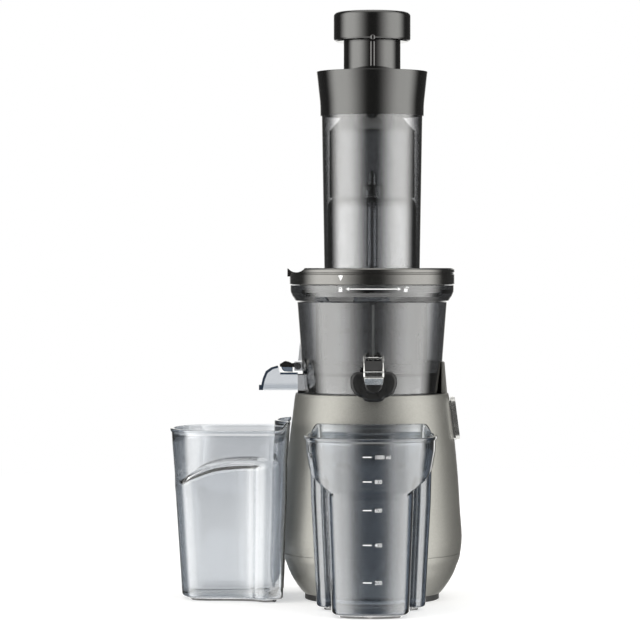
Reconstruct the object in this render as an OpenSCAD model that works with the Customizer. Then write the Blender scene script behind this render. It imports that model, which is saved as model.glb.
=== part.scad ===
// Cold press juicer: geared base, juicing bowl, lid with feed tube, pusher and two cups.
// Millimetres, +Z up, origin on the floor under the drive axis, juice spout towards -Y.

/* [Base] */
// Height of the base up to its deck
base_h = 174.5; // [165:0.5:190]
// Largest radius of the base
base_r = 76.5; // [75:0.5:84]
// Wall of the base's mouldings
base_wall = 2.6; // [2:0.1:3.4]
// Height of the seam between shell and bottom cover
seam_z = 39; // [34:0.5:44]
// Height of the rubber foot ring
foot_h = 5; // [3:0.5:7]
// Outer radius of the foot ring
foot_r = 57; // [54:0.5:60]
// Width of the foot ring
foot_w = 11; // [8:0.5:14]
// Height of the raised wall behind the bowl
rear_wall_h = 26.5; // [10:0.5:34]
// Length of the switch bezel along the base's side
bezel_len = 37; // [32:0.5:42]
// Width of the switch bezel
bezel_w = 25; // [22:0.5:30]

/* [Bowl] */
// Height of the bowl from the deck to its rim
bowl_h = 91.5; // [88:0.5:105]
// Step in from the base's largest radius to the bowl's foot
bowl_step = 18.5; // [17.7:0.1:19]
// Widening of the bowl from its foot to the underside of its rim
bowl_flare = 5.8; // [5.5:0.1:7]
// Overhang of the bowl's rim past its wall
rim_reach = 5.9; // [5:0.1:7]
// Height of the bowl's rim
rim_h = 14.4; // [13:0.1:18]
// Wall of the bowl
bowl_wall = 2.4; // [2:0.1:2.8]
// Height of the skirt under the bowl's floor
skirt_h = 15.5; // [15:0.1:19]
// Radius of the juice spout's bore
spout_bore_r = 7.2; // [5.5:0.1:7.6]
// Width of the pulp channel
pulp_w = 21; // [14:0.5:22]

/* [Lid and feed tube] */
// Overhang of the lid past the bowl's rim
lid_reach = 0.5; // [0:0.1:2]
// Height of the lid's ring
lid_ring_h = 9.8; // [8:0.1:14]
// Thickness of the lid's top disc
lid_disc_h = 4.2; // [3:0.1:6]
// Outer radius of the feed tube at its foot
tube_r = 40.8; // [40.4:0.1:42]
// Widening of the feed tube from its foot to the collar
tube_flare = 2.1; // [1.4:0.1:3]
// Height of the feed tube between lid and collar
tube_h = 128.7; // [118:0.1:150]
// Wall of the feed tube
tube_wall = 2.3; // [1.8:0.1:2.6]
// Height of the hopper collar
collar_h = 37.6; // [30:0.1:46]
// Widening of the hopper collar from the feed tube to its mouth
collar_flare = 4.3; // [3.6:0.1:7]
// Height of the dome that carries the auger's top
dome_h = 60.5; // [52:0.5:62]

/* [Pusher] */
// Radius of the pusher's cap
cap_r = 32.7; // [28:0.1:36]
// Height of the pusher's cap
cap_h = 25; // [18:0.5:32]
// Radius of the pusher's stem
stem_r = 24.2; // [18:0.1:26]
// Gap between cap and collar at rest
cap_gap = 25.4; // [14:0.1:34]
// Gap between the pusher's piston and the feed tube's bore
piston_gap = 2.3; // [1.9:0.1:3.4]

/* [Drive] */
// Radius of the drive shaft
shaft_r = 6.5; // [5.5:0.1:6.6]
// Module of the planetary gears
gear_m = 1; // [0.98:0.01:1.02]
// Module of the wiper's gears
wiper_m = 1.5; // [1.47:0.01:1.52]
// Height of the bowl's gears
gear_h = 6.5; // [5:0.1:8]
// Radius of the stator
stator_r = 36; // [32:0.5:36]
// Length of the stator
stator_len = 40; // [24:1:44]

/* [Cups] */
// Drop from the base's deck to a cup's front rim
cup_drop = 29.5; // [22:0.5:50]
// Rise of a cup's rim at its back
cup_rise = 7; // [3:0.5:10]
// Width of a cup
cup_w = 107.2; // [96:0.1:112]
// Depth of a cup from its curved back to its front
cup_depth = 90; // [80:0.5:96]
// Wall of a cup
cup_wall = 2.2; // [1.6:0.1:2.6]
// Gap between a cup's back and the base
cup_gap = 4.5; // [3:0.1:8]

/* [Hidden] */
$fn = 96;
// Overrun of every cut past the face that it leaves
over = 1;
// Gap between faces of pieces that come apart, running gap of a shaft, and gap of a seated piece
fit = 0.3;
run = 0.06;
seat = 0.02;
// Steps of an involute flank and of a smoothed outline's span
flank_steps = 4;
span_steps = 3;
quarter_turn = 90;
full_turn = 360;

// Radii and heights that follow from the sizes above
bowl_r = base_r - bowl_step;
bowl_top_r = bowl_r + bowl_flare;
rim_r = bowl_top_r + rim_reach;
lid_r = rim_r + lid_reach;
tube_top_r = tube_r + tube_flare;
collar_r = tube_top_r + collar_flare;
piston_r = tube_r - tube_wall - piston_gap;
cup_h = base_h - cup_drop;

// Base
base_outline_shares = [
    [0.983, 0.2235], [1, 0.302], [0.978, 0.438], [0.9556, 0.594], [0.923, 0.75], [0.889, 0.867],
    [0.856, 0.984], [0.838, 1]
];
cover_outline_shares = [
    [0.76, 0.128], [0.80, 0.218], [0.862, 0.392], [0.911, 0.567], [0.945, 0.741], [0.972, 0.88], [0.983, 1]
];
shell_top_r = 0.838 * base_r;
cover_floor = 3;
cover_top = foot_h + cover_floor;
deck_h = 3;
deck_r = shell_top_r - base_wall;
ledge_w = 4;
ledge_h = 3;
rear_wall_r = bowl_r + 2.4;
rear_wall_root = deck_r + base_wall / 3;
rear_wall_start = -14;
rear_wall_turn = 168;
vent_count = 12;
vent_w = 3;
vent_in = 16;
vent_out = 32;
screw_count = 4;
screw_r = 2;
screw_head_r = 3.8;
screw_head_h = 2.4;
screw_circle = foot_r - foot_w / 2;
boss_r = 5;
boss_h = 20;
cord_z = 62;
cord_r = 3.6;
gland_r = 6.5;
gland_flange_r = 10;
gland_flange = 3.2;
peg_r = 4;
peg_h = 5;
peg_in = 9;
peg_circle = bowl_r - peg_in;
peg_angles = [45, 135, 315];

// Switch, with its middle set into the slope of the shell's side
switch_z = base_h - 22;
switch_tilt = 7.4;
switch_face_r = 0.901 * base_r;
bezel_proud = 3.4;
bezel_frame = 3.6;
bezel_t = 9;
bezel_corner = 6;
rocker_gap = 0.5;
rocker_t = 6;
rocker_pin_r = 1.6;
rocker_swing = 10;

// Motor and gearbox, from the bottom up
fan_z = cover_top + 6;
fan_h = 9;
fan_r = 33;
fan_hub_r = 8;
fan_blades = 9;
fan_blade_t = 1.8;
rotor_shaft_r = 4;
lower_plate_z = fan_z + fan_h + 4;
plate_h = 3;
coil_h = 9;
coil_w = 8;
coil_gap = 4;
coil_count = 4;
coil_turn = 76;
stator_z = lower_plate_z + plate_h + coil_gap + coil_h;
upper_plate_z = stator_z + stator_len + coil_h + coil_gap;
post_r = 3.5;
post_circle = stator_r + post_r + 0.6;
plate_r = post_circle + post_r + 1.4;
rotor_r = 0.65 * stator_r;
rotor_gap = 0.7;
bush_wall = 4;
bush_lip = 1;
gear_z = upper_plate_z + plate_h + 1.6;
sun_teeth = 12;
planet_teeth = 21;
ring_teeth = sun_teeth + 2 * planet_teeth;
planet_count = 3;
planet_circle = gear_m * (sun_teeth + planet_teeth) / 2;
planet_h = 10;
planet_pin_r = 2.5;
carrier_z = gear_z + planet_h + 1;
carrier_h = 4;
carrier_r = planet_circle + 5;
ring_wall = 4.8;
gearbox_r = gear_m * ring_teeth / 2 + ring_wall + 1.2;
gearbox_top = carrier_z + carrier_h + 1.2;
gearbox_ear_r = 4.4;
gearbox_ear_circle = gearbox_r + 1.8;
gearbox_lid_h = 3;
bearing_r = shaft_r + 5.5;
bearing_h = 12;
neck_wall = 3;
neck_top = gearbox_top + gearbox_lid_h + bearing_h;
board_t = 1.6;
board_w = 34;
board_h = 44;

// Deck chimney, drive hexagon and the bowl's chimney round it
chimney_r = shaft_r + 3.5;
chimney_wall = 2;
chimney_h = 11;
hex_r = shaft_r + 0.9;
hex_sides = 6;
hex_z = base_h + chimney_h + 3;
bowl_chimney_r = chimney_r + 1;
bowl_chimney_wall = 2;
bowl_foot_z = base_h + fit;
floor_h = 2.5;
floor_z = base_h + skirt_h;
floor_top = floor_z + floor_h;
rim_z = base_h + bowl_h;
wiper_z = floor_top + fit;
wiper_teeth = 54;
auger_teeth = 24;
idler_teeth = 15;
idler_circle = wiper_m * (auger_teeth + idler_teeth) / 2;
idler_angle = 60;
idler_post_r = 3;
wiper_ring_r = wiper_m * (wiper_teeth / 2 + 1.15) + 3.1;
strainer_z = wiper_z + gear_h + 0.8;
strainer_floor = 3;
strainer_in = 13.5;
strainer_r = bowl_r - strainer_in;
strainer_top = rim_z - 14;
rib_w = 4;
rib_count = 8;
rib_angle = 22.5;
cage_t = 2.3;
mesh_r = strainer_r - cage_t;
mesh_t = 0.7;
strainer_band_h = 6;
chimney_top = strainer_z + strainer_floor + 7;
seal_h = 6;
seal_w = 3.4;
auger_bore = bowl_chimney_r + bowl_chimney_wall + 0.5;
auger_neck_r = 19.4;
cavity_r = auger_bore + 3.6;
socket_z = chimney_top + 3;
socket_h = 24;
flight_r = mesh_r - mesh_t - 0.8;
flight_t = 4;
flight_turns = 2.6;
flight_steps = 132;
auger_core_shares = [[0.62, 0], [0.66, 0.1], [0.62, 0.3], [0.52, 0.52], [0.4, 0.72], [0.27, 0.9], [0.2, 1]];
auger_shaft_r = 4.6;
auger_pin_r = 3;

// Juice spout, drip cap and buckle
spout_wall = 2;
spout_z = floor_z - 5.4;
spout_end = bowl_r + 17.5;
cap_hinge_y = bowl_r + 11.5;
cap_hinge_z = spout_z + 21.4;
cap_pin_r = 1.15;
cap_t = 7;
cap_w = 38;
cap_up = 10.6;
cap_down = 14.4;
cap_outline_shares = [
    [0, 0.72], [0.14, 0.78], [0.26, 0.95], [0.36, 1], [0.44, 0.86], [0.5, 0.46], [0.5, -0.06],
    [0.43, -0.5], [0.31, -0.72], [0.25, -0.76], [0.2, -0.92], [0.1, -1], [0, -1]
];
lug_t = 2.2;
lug_in = 6.4;
wire_r = 1.05;
wire_half = 7.6;
buckle_t = 2.2;

// Pulp channel, hood and lever
channel_wall = 2;
channel_h = floor_z - bowl_foot_z - channel_wall - 1;
channel_in = 20;
pulp_port_in = auger_neck_r + 3.9;
pulp_port_out = 36;
plug_r = 6.8;
plug_flange = 1.2;
hood_w = 30;
hood_wall = 1.8;
hood_start = bowl_r + 5;
hood_reach = 36.4;
hood_end = bowl_r + hood_reach;
neck_len = hood_start - bowl_r;
hood_top = floor_z + 8;
hood_low = floor_z - 12.6;
hood_step = floor_z + 2.2;
lever_x = bowl_r + 5;
lever_z = floor_z + 7.4;
lever_hub_r = 3;
lever_pin_r = 1.5;
lever_hub_half = 6;
lever_len = 15.2;
lever_w = 20;
lever_t = 3.4;
lever_swing = 50;

// Lid
seam = 0.5;
lid_z = rim_z + seam;
lid_disc_z = lid_z + lid_ring_h;
tube_z = lid_disc_z + lid_disc_h;
lid_skirt_h = 9;
lid_skirt_r = bowl_top_r - bowl_wall - 1.4;
lid_wall = 2.6;
lug_count = 3;
lug_turn = 20;
ledge_turn = 62;
bayonet_h = 2.2;
bayonet_reach = 2.2;
ledge_in = lid_skirt_r + bayonet_reach / 2;
ledge_low = lid_z - lid_skirt_h + bayonet_h + 2 * fit;
gasket_h = 2.4;
lid_chamfer = 1.2;
tab_reach = 1.6;
scoop_r = 9;

// Feed tube, dome and hub
collar_z = tube_z + tube_h;
tube_in_r = tube_r - tube_wall;
tube_top_in_r = tube_top_r - tube_wall;
tube_over = 26;
dome_wall = 2;
dome_r = tube_in_r - 0.8;
dome_chord = 10;
dome_round = 9;
dome_top = tube_z + dome_h;
hub_r = 10.2;
hub_h = 10.2;
hub_pin_r = 3.6;
hub_pin_h = 12;

// Pusher
stem_z = collar_z + collar_h;
cap_z = stem_z + cap_gap;
piston_wall = 2.2;
// The piston's foot rests on the dome's round shoulder
shoulder_run = piston_r - piston_wall - dome_r + dome_round;
piston_foot = dome_top - dome_round + sqrt(dome_round * dome_round - shoulder_run * shoulder_run) + fit;
cone_over = 1;
piston_top = collar_z + cone_over;
cone_h = 13.5;

// Cups
back_r = base_r + cup_gap;
cup_mid = back_r + 0.3 * cup_depth;
cup_draft = 0.15;
cup_turn = -1.5;
cup_foot_r = 5;
cup_floor = 2.8;
cup_lip = 0.9;
grip_z = 0.68 * cup_h;
grip_blend = 0.035 * cup_h;
grip_rise = 0.09 * cup_h;
// Plan of a cup's half at its rim: share of the depth in front of the back, share of the half width
rim_plan_shares = [
    [1, 0], [0.984, 0.25], [0.945, 0.46], [0.9, 0.63], [0.838, 0.78], [0.75, 0.885], [0.63, 0.95],
    [0.46, 0.985], [0.3, 1], [0.17, 0.998], [0.06, 0.975], [-0.06, 0.905], [-0.125, 0.79]
];
// The same half where the thumb grip is pressed in
grip_plan_shares = [
    [1, 0], [0.984, 0.25], [0.95, 0.43], [0.907, 0.56], [0.845, 0.64], [0.74, 0.68], [0.57, 0.7],
    [0.38, 0.725], [0.235, 0.785], [0.165, 0.9], [0.06, 0.975], [-0.06, 0.905], [-0.125, 0.79]
];
// Share of the grip's rise at each of these points
grip_rise_shares = [0, 0, 0, 0, 0.3, 0.6, 0.95, 1.12, 1.16, 1.18, 1.18, 1.1, 1.1];
// Angles of the curved back's points, from the corner to the middle
back_share_steps = [0.72, 0.48, 0.24, 0];

// Catmull-Rom point between b and c at share t
function between(a, b, c, d, t) =
    0.5 * (2 * b + (c - a) * t + (2 * a - 5 * b + 4 * c - d) * t * t + (3 * b - a - 3 * c + d) * t * t * t);
// Open outline through all points, with steps points to a span
function smooth(p, steps = span_steps) = concat(
    [for (i = [0:len(p) - 2], k = [0:steps - 1])
        between(p[max(i - 1, 0)], p[i], p[i + 1], p[min(i + 2, len(p) - 1)], k / steps)],
    [p[len(p) - 1]]);
// Closed outline through all points
function smooth_loop(p, steps = span_steps) = let (n = len(p))
    [for (i = [0:n - 1], k = [0:steps - 1])
        between(p[(i + n - 1) % n], p[i], p[(i + 1) % n], p[(i + 2) % n], k / steps)];
function scaled(p, x, y) = [for (q = p) [q[0] * x, q[1] * y]];
function inset_r(p, t) = [for (q = p) [q[0] - t, q[1]]];
function upto(p, z) = [for (q = p) if (q[1] < z) q];
function above(p, z) = [for (q = p) if (q[1] > z) q];
function reversed(p) = [for (i = [len(p) - 1:-1:0]) p[i]];
function mirrored(p) = [for (q = reversed(p)) [-q[0], q[1]]];
function last(p) = p[len(p) - 1];

base_outline = smooth(scaled(base_outline_shares, base_r, base_h));
cover_outline = smooth(scaled(cover_outline_shares, base_r, seam_z));

module lathe(points) {
    rotate_extrude() polygon(points);
}

module sector(points, start, turn) {
    rotate([0, 0, start]) rotate_extrude(angle = turn) polygon(points);
}

module ring(r_out, r_in, h) {
    lathe([[r_in, 0], [r_out, 0], [r_out, h], [r_in, h]]);
}

module on_circle(count, radius, start = 0) {
    for (i = [0:count - 1]) rotate([0, 0, start + i * full_turn / count]) translate([radius, 0, 0]) children();
}

module block(x, y, z) {
    translate([x[0], y[0], z[0]]) cube([x[1] - x[0], y[1] - y[0], z[1] - z[0]]);
}

module round_plate(w, l, h, r) {
    linear_extrude(h) {
        square([w - 2 * r, l], center = true);
        square([w, l - 2 * r], center = true);
        for (x = [-1, 1], y = [-1, 1]) translate([x * (w / 2 - r), y * (l / 2 - r)]) circle(r);
    }
}

// Involute gear profile. Tooth 0 points along +X; slack narrows each tooth at the pitch circle
pressure = 25;
rad = 180 / PI;
function involute(a) = tan(a) * rad - a;
function flank_angle(r, rb) = involute(acos(min(1, rb / r)));
function gear_points(m, teeth, tip, root, slack) = let (
        rp = m * teeth / 2, rb = rp * cos(pressure), ra = rp + tip, rf = rp - root, start = max(rb, rf),
        half = quarter_turn / teeth - slack / (2 * rp) * rad + involute(pressure),
        radii = [for (k = [0:flank_steps]) start + (ra - start) * k / flank_steps])
    [for (i = [0:teeth - 1]) let (mid = i * full_turn / teeth) each concat(
        rf < rb ? [polar(rf, mid - half)] : [],
        [for (r = radii) polar(r, mid - half + flank_angle(r, rb))],
        [for (r = reversed(radii)) polar(r, mid + half - flank_angle(r, rb))],
        rf < rb ? [polar(rf, mid + half)] : [])];
function polar(r, a) = [r * cos(a), r * sin(a)];

tip_share = 0.85;
root_share = 1.15;
slack_share = 0.12;

module outer_gear(m, teeth, h) {
    linear_extrude(h) polygon(gear_points(m, teeth, tip_share * m, root_share * m, slack_share * m));
}

module inner_gear_cut(m, teeth, h) {
    translate([0, 0, -over])
        linear_extrude(h + 2 * over)
            polygon(gear_points(m, teeth, root_share * m, tip_share * m, -slack_share * m));
}

// Base: mouldings

module foot_ring() {
    groove_w = foot_w / 3;
    groove_h = foot_h / 5;
    color("#222222") difference() {
        ring(foot_r, foot_r - foot_w, foot_h);
        translate([0, 0, -groove_h]) ring(foot_r - groove_w, foot_r - foot_w + groove_w, 2 * groove_h);
    }
}

module base_cover() {
    lip_h = 3;
    lip_r = last(cover_outline)[0] - base_wall - fit;
    inner = above(inset_r(cover_outline, base_wall), cover_top);
    color("#8B8C89") difference() {
        union() {
            lathe(concat([[0, foot_h], [foot_r + 1, foot_h]], above(cover_outline, foot_h),
                [[last(cover_outline)[0] - base_wall, seam_z]],
                [[lip_r, seam_z], [lip_r, seam_z + lip_h], [lip_r - base_wall / 2, seam_z + lip_h]],
                reversed(upto(inset_r(inner, base_wall / 2 + fit), seam_z)),
                [[inner[0][0] - base_wall, cover_top], [0, cover_top]]));
            on_circle(screw_count, screw_circle, rad) translate([0, 0, foot_h])
                cylinder(r = boss_r, h = seam_z - foot_h);
        }
        on_circle(screw_count, screw_circle, rad) {
            translate([0, 0, foot_h - over]) cylinder(r = screw_r + seat, h = seam_z);
            translate([0, 0, foot_h - over]) cylinder(r = screw_head_r + fit, h = screw_head_h + over + seat);
        }
        for (i = [0:vent_count - 1]) rotate([0, 0, i * full_turn / vent_count])
            block([vent_in, vent_out], [-vent_w / 2, vent_w / 2], [foot_h - over, cover_top + over]);
    }
}

module base_shell() {
    ledge_z = base_h - deck_h;
    inner = concat([[last(base_outline)[0] - base_wall, seam_z]], above(inset_r(base_outline, base_wall), seam_z));
    color("#8B8C89") difference() {
        union() {
            difference() {
                lathe(concat([[0, seam_z + fit], [base_outline[0][0], seam_z + fit]],
                    above(base_outline, seam_z + fit), [[0, base_h]]));
                lathe(concat([[0, seam_z - over], [base_outline[0][0] - base_wall, seam_z - over]],
                    upto(above(inset_r(base_outline, base_wall), seam_z), ledge_z - ledge_h),
                    [[deck_r, ledge_z - ledge_h], [0, ledge_z - ledge_h]]));
                translate([0, 0, ledge_z - ledge_h - over])
                    cylinder(r = deck_r - ledge_w, h = ledge_h + deck_h + 2 * over);
                translate([0, 0, ledge_z]) cylinder(r = deck_r + seat, h = deck_h + over);
            }
            sector([[rear_wall_root, base_h - deck_h / 2], [shell_top_r - fit / 2, base_h - deck_h / 2],
                [shell_top_r - fit / 2, base_h + fit], [rear_wall_r + 1.4, base_h + rear_wall_h - 1],
                [rear_wall_r + 0.8, base_h + rear_wall_h], [rear_wall_r, base_h + rear_wall_h],
                [rear_wall_r, base_h + fit], [rear_wall_root, base_h + fit]],
                rear_wall_start, rear_wall_turn);
            on_circle(screw_count, screw_circle, rad) shell_boss();
        }
        switch_place() translate([0, 0, -bezel_t])
            linear_extrude(bezel_t + 2 * bezel_proud) square([bezel_len - bezel_frame, bezel_w - bezel_frame],
                center = true);
        translate([0, 0, cord_z]) rotate([-quarter_turn, 0, 0]) cylinder(r = gland_r + seat, h = base_r + over);
    }
}

// Screw boss with a web out to the shell's wall; its own X runs outwards
module shell_boss() {
    wall_r = base_r - base_wall - screw_circle + 1;
    difference() {
        union() {
            translate([0, 0, seam_z + fit]) cylinder(r = boss_r, h = boss_h);
            block([0, wall_r], [-base_wall / 2, base_wall / 2], [seam_z + boss_h / 2, seam_z + fit + boss_h]);
        }
        translate([0, 0, seam_z]) cylinder(r = screw_r + seat, h = boss_h * 0.8);
    }
}

module base_deck() {
    color("#3A3A3A") difference() {
        union() {
            translate([0, 0, base_h - deck_h]) cylinder(r = deck_r, h = deck_h);
            translate([0, 0, base_h - 2 * deck_h]) cylinder(r = chimney_r + chimney_wall, h = 2 * deck_h);
            translate([0, 0, base_h]) cylinder(r = chimney_r, h = chimney_h);
            for (a = peg_angles) rotate([0, 0, a]) translate([peg_circle, 0, base_h - over])
                cylinder(r = peg_r, h = peg_h + over);
        }
        translate([0, 0, base_h - 3 * deck_h]) cylinder(r = chimney_r - chimney_wall, h = 3 * deck_h + chimney_h + over);
        translate([0, 0, base_h - 2 * deck_h - over]) cylinder(r = chimney_r, h = shaft_seal_h + over);
    }
}

// Frame of the switch: local X down the side, local Z out of it
module switch_place() {
    translate([switch_face_r, 0, switch_z]) rotate([0, quarter_turn - switch_tilt, 0]) children();
}

module switch_bezel() {
    cheek = bezel_w / 2 - bezel_frame;
    color("#D9DADB") switch_place() difference() {
        union() {
            round_plate(bezel_len, bezel_w, bezel_proud, bezel_corner);
            translate([0, 0, -bezel_t + seat])
                round_plate(bezel_len - bezel_frame - seat * 4, bezel_w - bezel_frame - seat * 4, bezel_t, 1);
        }
        translate([0, 0, -bezel_t - over])
            round_plate(bezel_len - 2 * bezel_frame, bezel_w - 2 * bezel_frame, bezel_t + bezel_proud + 2 * over, 1);
        rotate([quarter_turn, 0, 0])
            translate([0, rocker_axis, 0])
                cylinder(r = rocker_pin_r + run, h = 2 * (cheek + 1), center = true);
    }
}

rocker_axis = -1.6;
module switch_rocker() {
    long = bezel_len - 2 * bezel_frame - 2 * rocker_gap;
    wide = bezel_w - 2 * bezel_frame - 2 * rocker_gap;
    inner = long * 0.46;
    color("#2A2A2B") switch_place() {
        rotate([quarter_turn, 0, 0]) {
            translate([0, 0, -wide / 2]) linear_extrude(wide) polygon([
                [-inner, rocker_axis + 1], [-inner, rocker_axis + rocker_t - 1.2], [-inner / 2, rocker_axis + rocker_t - 2],
                [0, rocker_axis + rocker_t - 3.2], [inner / 2, rocker_axis + rocker_t - 2],
                [inner, rocker_axis + rocker_t - 1.2], [inner, rocker_axis + 1], [inner / 3, rocker_axis - 2.4],
                [-inner / 3, rocker_axis - 2.4]]);
            translate([0, rocker_axis, 0])
                cylinder(r = rocker_pin_r, h = wide + 2 * (rocker_gap + 0.7), center = true);
        }
    }
}

module cord_gland() {
    wall_r = gland_wall_r;
    color("#1E1E1E") translate([0, 0, cord_z]) rotate([-quarter_turn, 0, 0]) difference() {
        union() {
            translate([0, 0, wall_r - base_wall - 3]) cylinder(r = gland_r, h = base_wall + 4);
            translate([0, 0, wall_r + 0.6]) cylinder(r = gland_flange_r, h = gland_flange);
            translate([0, 0, wall_r - base_wall - 4.2]) cylinder(r = gland_r + 1.6, h = 2);
        }
        translate([0, 0, wall_r - 2 * gland_r]) cylinder(r = cord_r, h = 4 * gland_r);
    }
}
gland_wall_r = 0.995 * base_r;

module control_board() {
    color("#2F6B3A") {
        block([-post_circle - post_r - board_t - 2.4, -post_circle - post_r - 2.4], [-board_w / 2, board_w / 2],
            [upper_plate_z - board_h, upper_plate_z + 6]);
    }
    color("#202020") for (k = [0:2]) block(
        [-post_circle - post_r - board_t - 7.4, -post_circle - post_r - board_t - 2.4],
        [-board_w / 3 + k * 8, -board_w / 3 + k * 8 + 5], [upper_plate_z - board_h / 2, upper_plate_z - board_h / 2 + 9]);
}

module cover_screws() {
    color("#B8B8B8") on_circle(screw_count, screw_circle, rad) translate([0, 0, foot_h + fit]) difference() {
        union() {
            cylinder(r = screw_head_r, h = screw_head_h - fit);
            cylinder(r = screw_r, h = seam_z - foot_h + boss_h / 2);
        }
        translate([0, 0, -over]) cylinder(r = screw_head_r / 2, h = over + screw_head_h / 2, $fn = 6);
    }
}

// Base: motor

module posts(h) {
    on_circle(screw_count, post_circle) cylinder(r = post_r, h = h);
}

module motor_frame() {
    color("#9A9B9D") difference() {
        union() {
            translate([0, 0, cover_top]) posts(upper_plate_z - cover_top + plate_h);
            for (z = [lower_plate_z, upper_plate_z]) translate([0, 0, z]) cylinder(r = plate_r, h = plate_h);
            translate([0, 0, upper_plate_z])
                block([-post_circle - post_r - 2.4, -post_circle], [-board_w / 4, board_w / 4], [0, plate_h]);
        }
        for (z = [lower_plate_z, upper_plate_z])
            translate([0, 0, z - over]) cylinder(r = rotor_shaft_r + bush_wall + seat, h = plate_h + 2 * over);
        for (a = [0:3]) rotate([0, 0, 45 + a * quarter_turn]) translate([plate_r * 0.58, 0, lower_plate_z - over])
            cylinder(r = plate_r * 0.2, h = plate_h + 2 * over);
        on_circle(screw_count, gearbox_ear_circle, 45) translate([0, 0, upper_plate_z - over])
            cylinder(r = screw_r + seat, h = plate_h + 2 * over);
    }
}

module motor_bushes() {
    color("#B58B4A") for (z = [lower_plate_z, upper_plate_z]) translate([0, 0, z - bush_lip])
        ring(rotor_shaft_r + bush_wall, rotor_shaft_r + run, plate_h + 2 * bush_lip);
}

module stator_core() {
    color("#6E7075") translate([0, 0, stator_z]) difference() {
        union() {
            cylinder(r = stator_r, h = stator_len);
            on_circle(screw_count, post_circle) cylinder(r = post_r + 2, h = stator_len);
        }
        translate([0, 0, -over]) cylinder(r = rotor_r + rotor_gap, h = stator_len + 2 * over);
        on_circle(screw_count, post_circle) translate([0, 0, -over]) cylinder(r = post_r + run, h = stator_len + 2 * over);
    }
}

module stator_windings() {
    mid = (rotor_r + stator_r) / 2;
    side = coil_w / 2;
    cut = coil_w / 4;
    section = [[-side, 0], [side, 0], [side, coil_h - cut], [side - cut, coil_h], [cut - side, coil_h],
        [-side, coil_h - cut]];
    color("#B5652B") for (i = [0:coil_count - 1]) {
        translate([0, 0, stator_z + stator_len])
            sector([for (p = section) [mid + p[0], p[1]]], i * full_turn / coil_count, coil_turn);
        translate([0, 0, stator_z])
            sector([for (p = section) [mid + p[0], -p[1]]], i * full_turn / coil_count, coil_turn);
    }
}

module rotor_core() {
    color("#8A8C90") translate([0, 0, stator_z]) ring(rotor_r, rotor_shaft_r + seat, stator_len);
}

module rotor_shaft() {
    color("#C9CBCE") {
        translate([0, 0, fan_z - 3]) cylinder(r = rotor_shaft_r, h = gear_z - fan_z + 4);
        translate([0, 0, gear_z]) outer_gear(gear_m, sun_teeth, planet_h);
    }
}

module cooling_fan() {
    color("#3B3B3B") translate([0, 0, fan_z]) difference() {
        union() {
            cylinder(r = fan_hub_r, h = fan_h);
            cylinder(r = fan_r, h = fan_blade_t);
            for (i = [0:fan_blades - 1]) rotate([0, 0, i * full_turn / fan_blades])
                block([fan_hub_r - 1, fan_r], [-fan_blade_t / 2, fan_blade_t / 2], [0, fan_h]);
        }
        translate([0, 0, -over]) cylinder(r = rotor_shaft_r + seat, h = fan_h + 2 * over);
    }
}

module gearbox_ears(h) {
    on_circle(screw_count, gearbox_ear_circle, 45) cylinder(r = gearbox_ear_r, h = h);
}

module gearbox_ring() {
    low = upper_plate_z + plate_h;
    color("#D8D4C8") translate([0, 0, low]) difference() {
        union() {
            cylinder(r = gearbox_r, h = gearbox_top - low);
            gearbox_ears(gearbox_top - low);
        }
        inner_gear_cut(gear_m, ring_teeth, gearbox_top - low);
        on_circle(screw_count, gearbox_ear_circle, 45) translate([0, 0, -over])
            cylinder(r = screw_r + seat, h = gearbox_top - low + 2 * over);
    }
}

module gearbox_cover() {
    color("#55575A") translate([0, 0, gearbox_top]) difference() {
        union() {
            cylinder(r = gearbox_r, h = gearbox_lid_h);
            gearbox_ears(gearbox_lid_h);
            cylinder(r = bearing_r + neck_wall, h = gearbox_lid_h + bearing_h);
        }
        translate([0, 0, -over]) cylinder(r = shaft_r + 1, h = gearbox_lid_h + 2 * over);
        translate([0, 0, gearbox_lid_h]) cylinder(r = bearing_r + seat, h = bearing_h + over);
        on_circle(screw_count, gearbox_ear_circle, 45) translate([0, 0, -over])
            cylinder(r = screw_r + seat, h = gearbox_lid_h + 2 * over);
    }
}

module gearbox_screws() {
    color("#B8B8B8") on_circle(screw_count, gearbox_ear_circle, 45) {
        translate([0, 0, upper_plate_z]) cylinder(r = screw_r, h = gearbox_top + gearbox_lid_h - upper_plate_z);
        translate([0, 0, gearbox_top + gearbox_lid_h]) cylinder(r = screw_head_r, h = screw_head_h);
    }
}

module shaft_bearing() {
    groove = 1;
    color("#A8ABB0") translate([0, 0, gearbox_top + gearbox_lid_h]) difference() {
        ring(bearing_r, shaft_r + run, bearing_h);
        translate([0, 0, bearing_h - groove]) ring(bearing_r - 1.6, shaft_r + 1.6, 2 * groove);
    }
}

shaft_seal_h = 2 * deck_h - chimney_wall;
module shaft_seal() {
    lip = shaft_seal_h / 3;
    color("#1C1C1C") translate([0, 0, base_h - 2 * deck_h])
        lathe([[shaft_r + run, lip], [shaft_r + 1, 0], [chimney_r - seat, 0], [chimney_r - seat, shaft_seal_h - seat],
            [shaft_r + 1.4, shaft_seal_h - seat], [shaft_r + run, lip * 1.5]]);
}

// Base: output

module planet_gear(i) {
    color("#E2DFD3") rotate([0, 0, i * full_turn / planet_count]) translate([planet_circle, 0, gear_z]) difference() {
        outer_gear(gear_m, planet_teeth, planet_h);
        translate([0, 0, -over]) cylinder(r = planet_pin_r + run, h = planet_h + 2 * over);
    }
}
module planet_gear_1() { planet_gear(0); }
module planet_gear_2() { planet_gear(1); }
module planet_gear_3() { planet_gear(2); }

module planet_carrier() {
    color("#9EA0A3") difference() {
        union() {
            translate([0, 0, carrier_z]) cylinder(r = carrier_r, h = carrier_h);
            on_circle(planet_count, planet_circle) translate([0, 0, gear_z])
                cylinder(r = planet_pin_r, h = carrier_z - gear_z + over);
        }
        translate([0, 0, carrier_z - over]) cylinder(r = shaft_r + seat, h = carrier_h + 2 * over);
    }
}

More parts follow.
